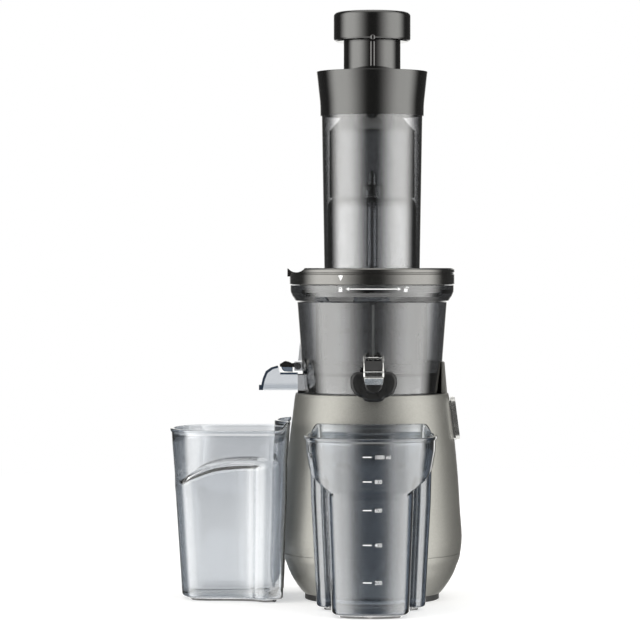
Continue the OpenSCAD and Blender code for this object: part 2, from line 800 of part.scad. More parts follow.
module drive_shaft() {
    hex_top = socket_z + socket_h - 3;
    color("#C9CBCE") {
        translate([0, 0, carrier_z]) cylinder(r = shaft_r, h = hex_z - carrier_z + over);
        translate([0, 0, hex_z]) cylinder(r = hex_r, h = hex_top - hex_z, $fn = hex_sides);
    }
}

// Bowl

bowl_outline_shares = [[0, 0], [0.17, 0.17], [0.56, 0.47], [0.86, 0.66], [1, 0.8]];
function bowl_wall_r(z) = bowl_r + (bowl_top_r - bowl_r) * (z - bowl_foot_z) / (rim_z - rim_h - bowl_foot_z);

module bowl_lathe(inset) {
    low = rim_z - rim_h;
    lathe([[0, bowl_foot_z], [bowl_r - inset, bowl_foot_z], [bowl_top_r - inset, low],
        [bowl_top_r + (rim_r - bowl_top_r) * 0.35 - inset, low + rim_h * 0.1],
        [bowl_top_r + (rim_r - bowl_top_r) * 0.72 - inset, low + rim_h * 0.34],
        [rim_r - 0.2 - inset, low + rim_h * 0.58], [rim_r - inset, low + rim_h * 0.75],
        [rim_r - inset, rim_z], [0, rim_z]]);
}

module juice_bowl() {
    low = rim_z - rim_h;
    color("#5B5B5E", 0.55) difference() {
        union() {
            difference() {
                bowl_lathe(0);
                bowl_lathe_inside();
                translate([0, 0, bowl_foot_z - over])
                    cylinder(r = bowl_r - bowl_wall, h = floor_z - bowl_foot_z + over);
            }
            translate([0, 0, floor_z]) cylinder(r = bowl_chimney_r + bowl_chimney_wall, h = chimney_top - floor_z);
            for (a = peg_angles) rotate([0, 0, a]) translate([peg_circle, 0, bowl_foot_z + fit])
                cylinder(r = peg_r + 2.4, h = floor_z - bowl_foot_z);
            for (i = [0:lug_count - 1])
                sector([[ledge_in, ledge_low], [rim_r - bowl_wall, ledge_low - 0.6],
                    [rim_r - bowl_wall, ledge_low + bayonet_h], [ledge_in, ledge_low + bayonet_h]],
                    i * full_turn / lug_count - ledge_turn / 2, ledge_turn);
            pulp_channel();
            spout_body();
            lever_lugs();
            cap_lugs();
            fin();
        }
        translate([0, 0, floor_z - over]) cylinder(r = bowl_chimney_r, h = chimney_top);
        for (a = peg_angles) rotate([0, 0, a]) translate([peg_circle, 0, bowl_foot_z])
            cylinder(r = peg_r + fit, h = peg_h + fit);
        spout_bore();
        block([-pulp_port_out - 2.2, -pulp_port_in + 2.2], [-pulp_w / 2, pulp_w / 2], [floor_z - over, floor_top + over]);
        block([-hood_start - over, -channel_in - channel_wall], [-pulp_w / 2, pulp_w / 2],
            [bowl_foot_z + channel_wall, floor_z]);
        rotate([0, 0, idler_angle]) translate([idler_circle, 0, floor_z - over])
            cylinder(r = idler_post_r + seat, h = floor_h + 2 * over);
        translate([-channel_mid, 0, bowl_foot_z - over]) cylinder(r = plug_r + seat, h = channel_wall + 2 * over);
        translate([-lever_x, 0, lever_z]) rotate([quarter_turn, 0, 0])
            cylinder(r = lever_pin_r + seat, h = lever_w, center = true);
        translate([0, -cap_hinge_y, cap_hinge_z]) rotate([0, quarter_turn, 0])
            cylinder(r = cap_pin_r + seat, h = cap_w, center = true);
    }
}
channel_mid = channel_in + channel_wall + plug_r + plug_flange + 0.6;

// Hollow of the bowl above its floor, with a step for the lid's skirt under the rim
module bowl_lathe_inside() {
    low = rim_z - rim_h;
    step = bowl_top_r - bowl_wall;
    lathe([[0, floor_top], [bowl_wall_r(floor_top) - bowl_wall, floor_top], [step, low],
        [rim_r - bowl_wall - 1.6, low + rim_h * 0.62], [rim_r - bowl_wall - 1, rim_z + over], [0, rim_z + over]]);
}

module pulp_channel() {
    half = pulp_w / 2 + channel_wall;
    block([-bowl_r - neck_len, -channel_in], [-half, half], [bowl_foot_z, floor_z + 1]);
}

module spout_body() {
    difference() {
        rotate([quarter_turn, 0, 0]) translate([0, spout_z, bowl_r - 16])
            cylinder(r = spout_bore_r + spout_wall, h = spout_end - bowl_r + 16);
        translate([0, 0, floor_top]) cylinder(r = bowl_wall_r(floor_top) - bowl_wall, h = rim_h);
    }
}

module spout_bore() {
    rotate([quarter_turn, 0, 0]) translate([0, spout_z, bowl_r - 14])
        cylinder(r = spout_bore_r, h = spout_end - bowl_r + 16);
    block([-spout_bore_r * 0.6, spout_bore_r * 0.6], [-bowl_r + bowl_wall + 1, -bowl_r + 14],
        [spout_z, floor_top + over]);
}

module lever_lugs() {
    for (s = [-1, 1]) block([-lever_x - 3, -bowl_r + 0.6],
        s > 0 ? [lever_hub_half + fit, lever_hub_half + fit + lug_t] : [-lever_hub_half - fit - lug_t, -lever_hub_half - fit],
        [lever_z - 4, lever_z + 3.4]);
}

module cap_lugs() {
    for (s = [-1, 1]) block(
        s > 0 ? [lug_in - lug_t, lug_in] : [-lug_in, -lug_in + lug_t],
        [-cap_hinge_y - 2.2, -bowl_r + 0.4], [cap_hinge_z - 3, cap_hinge_z + 2.2]);
}

module fin() {
    z = lever_z + 6;
    rotate([quarter_turn, 0, 0]) translate([0, 0, -1.5]) linear_extrude(3) polygon([
        [-bowl_r - 4.6, z], [-bowl_r - 5, z - 1.6], [-bowl_r, z - 1.6], [-bowl_r - 2, z + 19.5],
        [-bowl_r - 2.8, z + 18]]);
}

module cap_hinge_pin() {
    color("#D9DADB") translate([0, -cap_hinge_y, cap_hinge_z]) rotate([0, quarter_turn, 0])
        cylinder(r = cap_pin_r, h = 2 * (wire_half + wire_r), center = true);
}

module lever_pin() {
    color("#B8B8B8") translate([-lever_x, 0, lever_z]) rotate([quarter_turn, 0, 0])
        cylinder(r = lever_pin_r, h = 2 * (lever_hub_half + fit + lug_t), center = true);
}

module idler_post() {
    color("#C9CBCE") rotate([0, 0, idler_angle]) translate([idler_circle, 0, floor_z])
        cylinder(r = idler_post_r, h = floor_h + fit + gear_h);
}

module idler_gear() {
    color("#3A3A3A") rotate([0, 0, idler_angle]) translate([idler_circle, 0, wiper_z]) difference() {
        outer_gear(wiper_m, idler_teeth, gear_h);
        translate([0, 0, -over]) cylinder(r = idler_post_r + run, h = gear_h + 2 * over);
    }
}

module bowl_seal() {
    r = bowl_chimney_r + bowl_chimney_wall;
    color("#C8C8C4") translate([0, 0, chimney_top - seal_h])
        lathe([[r + seat, 0], [r + seal_w / 2, 0], [r + seal_w, seal_h * 0.3], [r + seal_w / 2, seal_h * 0.5],
            [r + seal_w, seal_h * 0.8], [r + seal_w / 2, seal_h], [r + seat, seal_h]]);
}

module pulp_plug() {
    color("#C8C8C4") translate([-channel_mid, 0, bowl_foot_z]) {
        cylinder(r = plug_r, h = channel_wall);
        translate([0, 0, channel_wall]) cylinder(r = plug_r + plug_flange, h = plug_flange);
    }
}

// Hood over the pulp outlet, open underneath and towards the bowl
hood_outline_shares = [
    [0.02, 0.24], [0.06, 0.5], [0.14, 0.78], [0.28, 0.93], [0.44, 1], [0.47, 1], [0.5, 0.72], [1, 0.72]
];

module hood_profile(inset) {
    long = hood_end - hood_start;
    high = hood_top - hood_low;
    points = [for (p = hood_outline_shares)
        [-hood_end + inset + p[0] * (long - inset), hood_low + p[1] * high - inset]];
    polygon(concat([[-hood_end + inset, hood_low - (inset > 0 ? over : 0)]], points,
        [[-hood_start + (inset > 0 ? over : 0), last(points)[1]],
         [-hood_start + (inset > 0 ? over : 0), hood_low - (inset > 0 ? over : 0)]]));
}

module pulp_chute() {
    flange = 1.4;
    color("#A9ACAE", 0.6) rotate([quarter_turn, 0, 0]) difference() {
        union() {
            translate([0, 0, -hood_w / 2]) linear_extrude(hood_w) hood_profile(0);
            translate([0, 0, -hood_w / 2 - flange]) linear_extrude(hood_w + 2 * flange)
                polygon([[-hood_end - flange, hood_low], [-hood_start, hood_low],
                    [-hood_start, hood_low + 4.4], [-hood_end - flange, hood_low + 4.4]]);
        }
        translate([0, 0, -hood_w / 2 + hood_wall]) linear_extrude(hood_w - 2 * hood_wall) hood_profile(hood_wall);
    }
}

module pulp_lever() {
    color("#242424") difference() {
        rotate([quarter_turn, 0, 0]) {
            translate([-lever_x, lever_z, -lever_hub_half]) {
                cylinder(r = lever_hub_r, h = 2 * lever_hub_half);
                linear_extrude(2 * lever_hub_half)
                    polygon([[0, -1], [-lever_len / 3, -1], [-lever_len / 3, lever_t - 1], [0, lever_hub_r]]);
            }
            translate([-lever_x, lever_z, -lever_w / 2]) linear_extrude(lever_w)
                polygon([[-lever_hub_r - 1.6, -1], [-lever_len, -0.4], [-lever_len, lever_t - 1.6],
                    [-lever_len * 0.72, lever_t + 1], [-lever_len * 0.5, lever_t + 0.4], [-lever_hub_r - 1.6, lever_t - 1]]);
        }
        translate([-lever_x, 0, lever_z]) rotate([quarter_turn, 0, 0])
            cylinder(r = lever_pin_r + run, h = lever_w, center = true);
    }
}

// Drip cap and its buckle

module drip_cap() {
    half = [for (p = cap_outline_shares) [p[0] * cap_w, p[1] > 0 ? p[1] * cap_up : p[1] * cap_down]];
    side = smooth(half, 2);
    color("#151515") rotate([quarter_turn, 0, 0]) translate([0, spout_z, spout_end + fit]) {
        linear_extrude(cap_t) polygon(concat(side, mirrored(side)));
        translate([0, 0, -4]) cylinder(r1 = spout_bore_r - 1.2, r2 = spout_bore_r - 0.5, h = 4 + seat);
    }
}

module cap_buckle() {
    face = spout_end + fit + cap_t;
    eye = cap_pin_r + 1.3;
    color("#D9DADB") {
        for (s = [-1, 1]) translate([s * wire_half, 0, 0]) {
            translate([0, -cap_hinge_y, cap_hinge_z]) rotate([0, quarter_turn, 0]) difference() {
                cylinder(r = eye, h = 2 * wire_r, center = true);
                cylinder(r = cap_pin_r + run, h = 4 * wire_r, center = true);
            }
            hull() {
                translate([0, -cap_hinge_y - 1.6, cap_hinge_z - eye]) sphere(r = wire_r, $fn = 24);
                translate([0, -face - 1, spout_z + cap_up]) sphere(r = wire_r, $fn = 24);
            }
        }
        buckle_plate();
    }
}

module buckle_plate() {
    face = spout_end + fit + cap_t;
    rotate([quarter_turn, 0, 0]) translate([0, spout_z, face + seat]) {
        difference() {
            translate([-wire_half - wire_r, cap_up - 4.6, 0]) cube([2 * (wire_half + wire_r), 6, buckle_t]);
            translate([-wire_half + 1.6, cap_up - 3.2, buckle_t / 2]) cube([2 * wire_half - 3.2, 2.4, buckle_t]);
        }
        linear_extrude(buckle_t * 1.6) polygon([
            [-wire_half - 1, cap_up - 5.6], [wire_half + 1, cap_up - 5.6], [wire_half * 0.7, cap_up - 11.4],
            [-wire_half * 0.7, cap_up - 11.4]]);
        translate([-wire_half * 0.8, cap_up - 5.8, 0]) cube([2 * wire_half * 0.8, 1.4, buckle_t]);
    }
}

// Strainer and wiper

module strainer_frame() {
    floor_r = strainer_r;
    color("#2E2E30") difference() {
        union() {
            translate([0, 0, strainer_z]) ring(floor_r, auger_neck_r + 0.6, strainer_floor);
            on_circle(rib_count, (mesh_r + strainer_r) / 2, rib_angle)
                translate([0, 0, (strainer_z + strainer_top) / 2])
                    cube([strainer_r - mesh_r - 2 * seat, rib_w, strainer_top - strainer_z], center = true);
            translate([0, 0, strainer_top - strainer_band_h])
                ring(strainer_r + 1, mesh_r + seat, strainer_band_h);
            translate([0, 0, (strainer_z + strainer_top) / 2]) ring(strainer_r, mesh_r + seat, rib_w);
            block([-pulp_port_out - 1.4, -pulp_port_in + 1.4], [-pulp_w / 2 + fit, pulp_w / 2 - fit],
                [floor_z, strainer_z + 1]);
        }
        block([-pulp_port_out, -pulp_port_in], [-pulp_w / 2 + fit + 1.4, pulp_w / 2 - fit - 1.4],
            [floor_z - over, strainer_z + strainer_floor + over]);
    }
}

module strainer_mesh() {
    color("#B9BBBD") translate([0, 0, strainer_z + strainer_floor])
        ring(mesh_r, mesh_r - mesh_t, strainer_top - strainer_z - strainer_floor);
}

wiper_gap = 1.7;
wiper_arm_in = strainer_r + wiper_gap;
wiper_arm_turn = 30;
wiper_arm_t = 2.2;
wiper_arm_w = 9;
wiper_arms = 3;
wiper_top = strainer_top + 2;
blade_t = 1.8;
module wiper_frame() {
    color("#3A3A3A") {
        translate([0, 0, wiper_z]) difference() {
            cylinder(r = wiper_ring_r, h = gear_h);
            inner_gear_cut(wiper_m, wiper_teeth, gear_h);
        }
        on_circle(wiper_arms, wiper_arm_in + wiper_arm_t / 2, wiper_arm_turn)
            translate([0, 0, (wiper_z + wiper_top) / 2])
                cube([wiper_arm_t, wiper_arm_w, wiper_top - wiper_z], center = true);
        translate([0, 0, wiper_z]) ring(wiper_arm_in + wiper_arm_t, wiper_ring_r - 1, gear_h);
        translate([0, 0, wiper_top - rib_w]) ring(wiper_arm_in + wiper_arm_t, wiper_arm_in, rib_w);
    }
}

module wiper_blades() {
    reach = bowl_wall_r(floor_top) - bowl_wall - 1.2;
    color("#C8C8C4") on_circle(wiper_arms, 0, wiper_arm_turn) translate([wiper_arm_in + wiper_arm_t + seat, -blade_t / 2,
            wiper_z + gear_h])
        cube([reach - wiper_arm_in - wiper_arm_t, blade_t, wiper_top - wiper_z - gear_h - rib_w]);
}

// Auger

auger_foot = strainer_z + strainer_floor + 0.6;
auger_top = tube_z - 1;
auger_high = auger_top - auger_foot;
auger_profile = [for (p = auger_core_shares) [p[0] * flight_r, auger_foot + p[1] * auger_high]];
function core_r(z) = lookup(z, [for (p = auger_profile) [p[1], p[0]]]);
// The flight's edge clears the strainer, then draws in under the lid to pass the feed tube's foot
flight_root_gap = 0.15;
flight_inset = 5.5;
flight_end_r = tube_in_r - flight_inset;
flight_full_share = 0.55;
function edge_r(t) =
    flight_r - max(0, t - flight_full_share) / (1 - flight_full_share) * (flight_r - flight_end_r);
function polar3(r, a, z) = [r * cos(a), r * sin(a), z];

// Helical flight, wound close round the core
module auger_flight() {
    root = flight_root_gap;
    rise = auger_high - flight_t;
    rows = [for (i = [0:flight_steps]) let (t = i / flight_steps, a = t * flight_turns * full_turn,
        z = auger_foot + t * rise, e = edge_r(t))
        [polar3(core_r(z) + root, a, z), polar3(e, a, z + flight_t * 0.2), polar3(e, a, z + flight_t * 0.7),
         polar3(core_r(z + flight_t) + root, a, z + flight_t)]];
    points = [for (row = rows, p = row) p];
    last_row = 4 * flight_steps;
    faces = concat(
        [[0, 1, 2], [0, 2, 3]],
        [for (i = [0:flight_steps - 1], k = [0:3]) let (a = 4 * i + k, b = 4 * i + (k + 1) % 4) [a, a + 4, b + 4]],
        [for (i = [0:flight_steps - 1], k = [0:3]) let (a = 4 * i + k, b = 4 * i + (k + 1) % 4) [a, b + 4, b]],
        [[last_row + 2, last_row + 1, last_row], [last_row + 3, last_row + 2, last_row]]);
    color("#6B665F") polyhedron(points, faces);
}

module auger_core() {
    color("#6B665F") difference() {
        union() {
            translate([0, 0, wiper_z]) outer_gear(wiper_m, auger_teeth, gear_h);
            translate([0, 0, wiper_z + gear_h]) cylinder(r = auger_neck_r, h = auger_foot - wiper_z - gear_h);
            lathe(concat([[0, auger_foot]], auger_profile, [[0, auger_top]]));
        }
        translate([0, 0, wiper_z - over]) cylinder(r = auger_bore, h = gear_h + 2 * over);
        translate([0, 0, wiper_z + gear_h]) cylinder(r = cavity_r, h = socket_z - wiper_z - gear_h);
        translate([0, 0, socket_z - over]) cylinder(r = hex_r + fit, h = socket_h + over, $fn = hex_sides);
        translate([0, 0, auger_top - 12]) cylinder(r = auger_shaft_r + seat, h = 12 + over);
    }
}

module auger_pin() {
    pin_z = dome_top + 1.2;
    color("#C9CBCE") {
        translate([0, 0, auger_top - 12 + seat]) cylinder(r = auger_shaft_r, h = dome_top - dome_wall - 1 - auger_top + 12);
        translate([0, 0, dome_top - dome_wall - 2]) cylinder(r = auger_pin_r, h = dome_wall + hub_h - 1);
    }
}

// Lid, feed tube and dome

module lid_ring() {
    in_r = tube_in_r - 1.2;
    skirt_z = lid_z - lid_skirt_h;
    color("#4A4A49") difference() {
        union() {
            lathe([[0, lid_z], [lid_r - 0.5, lid_z], [lid_r, lid_z + lid_chamfer / 2], [lid_r, lid_disc_z - lid_chamfer],
                [lid_r - lid_chamfer / 2, lid_disc_z - lid_chamfer / 2], [lid_r - lid_chamfer / 2, lid_disc_z],
                [lid_r, lid_disc_z + lid_chamfer / 2], [lid_r, tube_z - lid_chamfer],
                [lid_r - lid_chamfer, tube_z], [0, tube_z]]);
            translate([0, 0, skirt_z]) cylinder(r = lid_skirt_r, h = lid_skirt_h + over);
            for (i = [0:lug_count - 1])
                sector([[lid_skirt_r - 1, skirt_z], [lid_skirt_r + bayonet_reach, skirt_z + 0.4],
                    [lid_skirt_r + bayonet_reach, skirt_z + bayonet_h - 0.4], [lid_skirt_r - 1, skirt_z + bayonet_h]],
                    i * full_turn / lug_count - lug_turn / 2, lug_turn);
            thumb_tab();
        }
        translate([0, 0, lid_z + lid_wall]) lathe([[tube_r + 3, -lid_wall - lid_skirt_h * 2],
            [lid_skirt_r - lid_wall, -lid_wall - lid_skirt_h * 2], [lid_skirt_r - lid_wall, 0],
            [lid_skirt_r - lid_wall, lid_ring_h - 2 * lid_wall + 1], [tube_r + 3, lid_ring_h - 2 * lid_wall + 1]]);
        translate([0, 0, skirt_z - over]) cylinder(r = in_r, h = lid_skirt_h + lid_ring_h + lid_disc_h + 2 * over);
        translate([0, 0, lid_disc_z - 1]) cylinder(r = tube_r + seat, h = lid_disc_h + 1 + over);
        translate([0, 0, skirt_z - over]) cylinder(r = lid_skirt_r - lid_wall, h = lid_skirt_h - 3);
        thumb_scoop();
    }
}

// Lip for the thumb at the left end of the lid
module thumb_tab() {
    rotate([0, 0, 180]) block([lid_r - 8, lid_r + tab_reach], [-9, 9], [lid_disc_z - 3, tube_z - 0.4]);
}

module thumb_scoop() {
    rotate([quarter_turn, 0, 0]) translate([-lid_r + 6, tube_z + scoop_r - 3.6, 0])
        cylinder(r = scoop_r, h = 2 * lid_r, center = true);
}

module lid_gasket() {
    z = lid_z - fit;
    color("#C8C8C4") translate([0, 0, z - gasket_h])
        ring(lid_skirt_r + 1.6, lid_skirt_r + seat, gasket_h);
}

module feed_tube() {
    foot = lid_disc_z - 1;
    top = collar_z + tube_over;
    slope = (tube_top_r - tube_r) / tube_h;
    rise = tube_top_r + slope * tube_over;
    color("#6F7073", 0.5) lathe([[tube_in_r, foot], [tube_r, foot], [tube_r, tube_z], [tube_top_r, collar_z],
        [rise, top], [rise - tube_wall, top], [tube_top_in_r, collar_z], [tube_in_r, tube_z]]);
}

collar_lip = 1.2;
arch_h = 2.4;
arch_half = 17.5;
arch_r = (arch_half * arch_half + arch_h * arch_h) / (2 * arch_h);
// Outside of the collar: share of its flare, share of its height
collar_outline_shares = [
    [0.26, 0], [0.27, 0.1], [0.3, 0.24], [0.38, 0.36], [0.53, 0.52], [0.68, 0.68], [0.83, 0.84], [0.96, 0.97],
    [1, 0.99], [0.97, 1]
];
collar_outline = [for (p = collar_outline_shares) [tube_top_r + p[0] * collar_flare, p[1] * collar_h]];
module hopper_collar() {
    slope = (tube_top_r - tube_r) / tube_h;
    rise = tube_top_r + slope * tube_over + seat;
    color("#4A4A49") translate([0, 0, collar_z]) {
        lathe(concat([[tube_top_r + seat, 0]], smooth(collar_outline), [[tube_top_r - collar_lip, collar_h],
            [rise - tube_wall, tube_over + seat], [rise, tube_over + seat]]));
        // Low arch on the front of the rim
        intersection() {
            translate([0, 0, collar_h - over]) ring(collar_r - collar_lip, tube_top_r - collar_lip / 2, over + arch_h);
            translate([0, -tube_top_r, collar_h + arch_h - arch_r]) rotate([quarter_turn, 0, 0])
                cylinder(r = arch_r, h = 2 * tube_flare + 2 * collar_flare, center = true);
        }
    }
}

module bearing_dome() {
    color("#8C8E91", 0.5) difference() {
        dome_solid(0);
        translate([0, 0, -over]) dome_solid(dome_wall);
        translate([0, 0, dome_top - dome_wall - over]) cylinder(r = auger_pin_r + 1, h = dome_wall + 2 * over);
    }
}

// Round-shouldered body with a flat back, smaller by inset on every side but its foot
module dome_solid(inset) {
    r = dome_r - inset;
    top = dome_top - (inset > 0 ? inset - over : 0);
    low = tube_z + seat;
    c = dome_round;
    intersection() {
        lathe(concat([[0, low], [r, low]], [for (a = [0:15:90]) [r - c + c * cos(a), top - c + c * sin(a)]], [[0, top]]));
        block([-tube_r, tube_r], [-tube_r, dome_chord - inset], [low - over, top + over]);
    }
}

module dome_hub() {
    high = hub_h + hub_pin_h;
    color("#CFD0D0") translate([0, 0, dome_top + seat]) difference() {
        lathe([[0, 0], [hub_r - 0.8, 0], [hub_r, 0.8], [hub_r, hub_h - 1.4], [hub_r - 1.4, hub_h],
            [hub_pin_r + 0.8, hub_h], [hub_pin_r - 0.6, high - 2], [hub_pin_r - 1.8, high], [0, high]]);
        translate([0, 0, -over]) cylinder(r = auger_pin_r + run, h = hub_h - 1 + over);
    }
}

// Pusher

stem_wall = 2.2;
spigot_h = 7;
cap_round = 3.4;
cap_edge = 2.4;
// Cap and stem in one, hollow from below
module pusher_cap() {
    c = cap_round;
    color("#4A4A49") difference() {
        lathe(concat([[0, piston_top + seat], [stem_r, piston_top + seat], [stem_r, cap_z],
            [cap_r - cap_edge, cap_z], [cap_r - cap_edge / 4, cap_z + cap_edge / 2], [cap_r, cap_z + cap_edge]],
            [for (a = [0:15:90]) [cap_r - c + c * cos(a), cap_z + cap_h - c + c * sin(a)]], [[0, cap_z + cap_h]]));
        translate([0, 0, piston_top - over]) cylinder(r = stem_r - stem_wall, h = cap_z - piston_top + over);
    }
}

// Piston under the stem: hollow foot, cone, and a spigot that plugs into the stem
module pusher_piston() {
    t = piston_wall;
    plug = stem_r - stem_wall - seat;
    foot_edge = t / 4;
    color("#7B7C80", 0.6) difference() {
        lathe([[0, piston_foot], [piston_r - foot_edge, piston_foot], [piston_r, piston_foot + 2 * foot_edge],
            [piston_r, piston_top - cone_h], [stem_r, piston_top], [plug, piston_top], [plug, piston_top + spigot_h],
            [0, piston_top + spigot_h]]);
        lathe([[0, piston_foot - over], [piston_r - t, piston_foot - over], [piston_r - t, piston_top - cone_h - t / 2],
            [stem_r - t, piston_top - t], [0, piston_top - t]]);
    }
}

// Cups: one form, stood in front of the base and beside it

half_w = cup_w / 2;
back_corner = atan2(last(rim_plan_shares)[1] * half_w, back_r + last(rim_plan_shares)[0] * cup_depth);
function half_plan(shares) = concat(
    [for (p = shares) [back_r + p[0] * cup_depth, p[1] * half_w]],
    [for (s = back_share_steps) polar(back_r, s * back_corner)]);
function whole_plan(half) = concat(half, [for (i = [len(half) - 2:-1:1]) [half[i][0], -half[i][1]]]);
function with_back(shares, fill) = concat(shares, [for (s = back_share_steps) fill]);
rim_plan = whole_plan(half_plan(rim_plan_shares));
grip_plan = whole_plan(half_plan(grip_plan_shares));
rise_list = let (half = with_back(grip_rise_shares, 1))
    concat(half, [for (i = [len(half) - 2:-1:1]) half[i]]);

// Plan drawn in towards the foot, and moved in by t along its own normals
function drafted(plan, z) = let (f = 1 - cup_draft * (1 - z / cup_h))
    [for (p = plan) [cup_mid + (p[0] - cup_mid) * f, p[1] * f]];
function moved_in(plan, t) = let (n = len(plan)) [for (i = [0:n - 1])
    let (d = plan[(i + 1) % n] - plan[(i + n - 1) % n], l = norm(d)) plan[i] + [-d[1], d[0]] * t / l];
function at_height(plan, z) = [for (p = plan) [p[0], p[1], z]];
function cup_ring(plan, z, t) = at_height(moved_in(smooth_loop(drafted(plan, z), 2), t), z);
// Ring across the grip's edge: each point at its own height, above by up
function grip_ring(plan, up, t) = let (
        flat = moved_in(smooth_loop(drafted(plan, grip_z), 2), t),
        zs = smooth_loop([for (s = rise_list) [s, 0]], 2))
    [for (i = [0:len(flat) - 1]) [flat[i][0], flat[i][1], grip_z + zs[i][0] * grip_rise + up]];
// The rim is level from its front and climbs round its back corners
climb_from_share = 0.13;
climb_span_share = 0.11;
function climb(p) = let (s = min(1, max(0, (climb_from_share - (norm(p) - back_r) / cup_depth) / climb_span_share)))
    cup_rise * s * s * (3 - 2 * s);
function rim_ring(t, drop) = let (flat = moved_in(smooth_loop(rim_plan, 2), t))
    [for (p = flat) [p[0], p[1], cup_h - drop + climb(p)]];

module cup() {
    t = cup_wall;
    rings = concat(
        [cup_ring(grip_plan, 0, cup_foot_r), cup_ring(grip_plan, cup_foot_r * 0.3, cup_foot_r * 0.3),
         cup_ring(grip_plan, cup_foot_r, 0), cup_ring(grip_plan, grip_z / 2, 0)],
        [grip_ring(grip_plan, 0, 0), grip_ring(rim_plan, grip_blend, 0)],
        [rim_ring(0, cup_lip * 4), rim_ring(-cup_lip, cup_lip * 2), rim_ring(-cup_lip, 0), rim_ring(t, 0)],
        [grip_ring(rim_plan, grip_blend - t / 2, t), grip_ring(grip_plan, -t / 2, t)],
        [cup_ring(grip_plan, grip_z / 2, t), cup_ring(grip_plan, cup_foot_r + cup_floor, t),
         cup_ring(grip_plan, cup_floor, cup_foot_r + t)]);
    n = len(rings[0]);
    points = [for (r = rings, p = r) p];
    faces = concat(
        [[for (i = [0:n - 1]) i]],
        [for (k = [0:len(rings) - 2], i = [0:n - 1]) let (a = k * n + i, b = k * n + (i + 1) % n) [a, a + n, b + n]],
        [for (k = [0:len(rings) - 2], i = [0:n - 1]) let (a = k * n + i, b = k * n + (i + 1) % n) [a, b + n, b]],
        [[for (i = [n - 1:-1:0]) (len(rings) - 1) * n + i]]);
    polyhedron(points, faces);
}

module juice_cup() { color("#9AA3A8", 0.4) rotate([0, 0, 270 + cup_turn]) cup(); }
module pulp_cup() { color("#9AA3A8", 0.4) rotate([0, 0, 180]) cup(); }

foot_ring();
base_cover();
base_shell();
base_deck();
switch_bezel();
cord_gland();
control_board();
cover_screws();
motor_frame();
motor_bushes();
stator_core();
stator_windings();
gearbox_ring();
gearbox_cover();
gearbox_screws();
shaft_bearing();
shaft_seal();
rotor_core();
rotor_shaft();
cooling_fan();
planet_gear_1();
planet_gear_2();
planet_gear_3();
planet_carrier();
drive_shaft();
switch_rocker();
juice_bowl();
strainer_frame();
strainer_mesh();
pulp_plug();
pulp_chute();
bowl_seal();
cap_hinge_pin();
lever_pin();
idler_post();
drip_cap();
cap_buckle();
pulp_lever();
idler_gear();
wiper_frame();
wiper_blades();
auger_core();
auger_flight();
auger_pin();
lid_ring();
lid_gasket();
feed_tube();
hopper_collar();
bearing_dome();
dome_hub();
pusher_cap();
pusher_piston();
juice_cup();
pulp_cup();
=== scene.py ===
"""Looks of a cold press juicer and its two cups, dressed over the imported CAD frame.

Sizes in the classes are millimetres, in the frame of the CAD, and turn into metres where a mesh is made.
"""

import logging
import math
from dataclasses import dataclass
from enum import Enum
from typing import Any, Callable, Sequence

import bmesh
import bpy
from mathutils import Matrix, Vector


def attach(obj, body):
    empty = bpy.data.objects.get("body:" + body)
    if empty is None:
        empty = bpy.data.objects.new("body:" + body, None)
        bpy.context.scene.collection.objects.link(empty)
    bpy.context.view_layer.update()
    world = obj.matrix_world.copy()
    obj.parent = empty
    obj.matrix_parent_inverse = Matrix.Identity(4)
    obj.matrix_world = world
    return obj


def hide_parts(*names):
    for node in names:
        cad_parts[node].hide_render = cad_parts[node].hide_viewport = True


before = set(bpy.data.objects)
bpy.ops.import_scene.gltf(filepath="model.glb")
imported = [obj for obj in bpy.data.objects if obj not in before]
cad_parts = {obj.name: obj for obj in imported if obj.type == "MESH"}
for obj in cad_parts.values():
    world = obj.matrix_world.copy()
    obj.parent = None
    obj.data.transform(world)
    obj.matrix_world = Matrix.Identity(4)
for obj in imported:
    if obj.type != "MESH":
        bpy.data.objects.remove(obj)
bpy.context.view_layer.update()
LOG = logging.getLogger("juicer")
MM = 0.001
# Blender's noise seldom leaves this range, which is stretched to a pattern's own bounds
NOISE_LOW, NOISE_HIGH = 0.3, 0.7
# Blender's wave texture turns at this many radians to a unit of its scale
WAVE_RATE = 20
# Edges that bend by more than this many degrees stay sharp
CREASE = 35.0
# Height of a film of ink above its wall
INK_T = 0.06
# Share of the letter size that a figure is tall, and the share of its height that its strokes are thickened
FIGURE_SHARE = 0.7
FIGURE_BOLD = 0.006

Flat = tuple[float, float]
Spot = tuple[float, float, float]
Shape = tuple[list[Flat], list[tuple[int, ...]]]


def linear(code: str) -> tuple[float, float, float, float]:
    """Turns an sRGB hex colour into Blender's linear colour.

    Args:
        code: Six hex digits, with or without a leading hash.

    Returns:
        Red, green, blue and alpha, each from 0 to 1.
    """
    parts = [int(code.lstrip("#")[i : i + 2], 16) / 255 for i in (0, 2, 4)]
    return tuple(c / 12.92 if c <= 0.04045 else ((c + 0.055) / 1.055) ** 2.4 for c in parts) + (1.0,)


def add(
    tree: bpy.types.NodeTree,
    kind: str,
    settings: dict[str, Any] | None = None,
    sockets: dict[str | int, Any] | None = None,
) -> bpy.types.Node:
    """Adds a node with its settings and links.

    Args:
        tree: The node tree that gets the node.
        kind: The node's type without the word ShaderNode.
        settings: The node's own properties.
        sockets: Its inputs by name or number, each a plain value or the output that feeds it.

    Returns:
        The new node.
    """
    node = tree.nodes.new("ShaderNode" + kind)
    for name, value in (settings or {}).items():
        setattr(node, name, value)
    for name, value in (sockets or {}).items():
        if isinstance(value, bpy.types.NodeSocket):
            tree.links.new(value, node.inputs[name])
        else:
            node.inputs[name].default_value = value
    return node


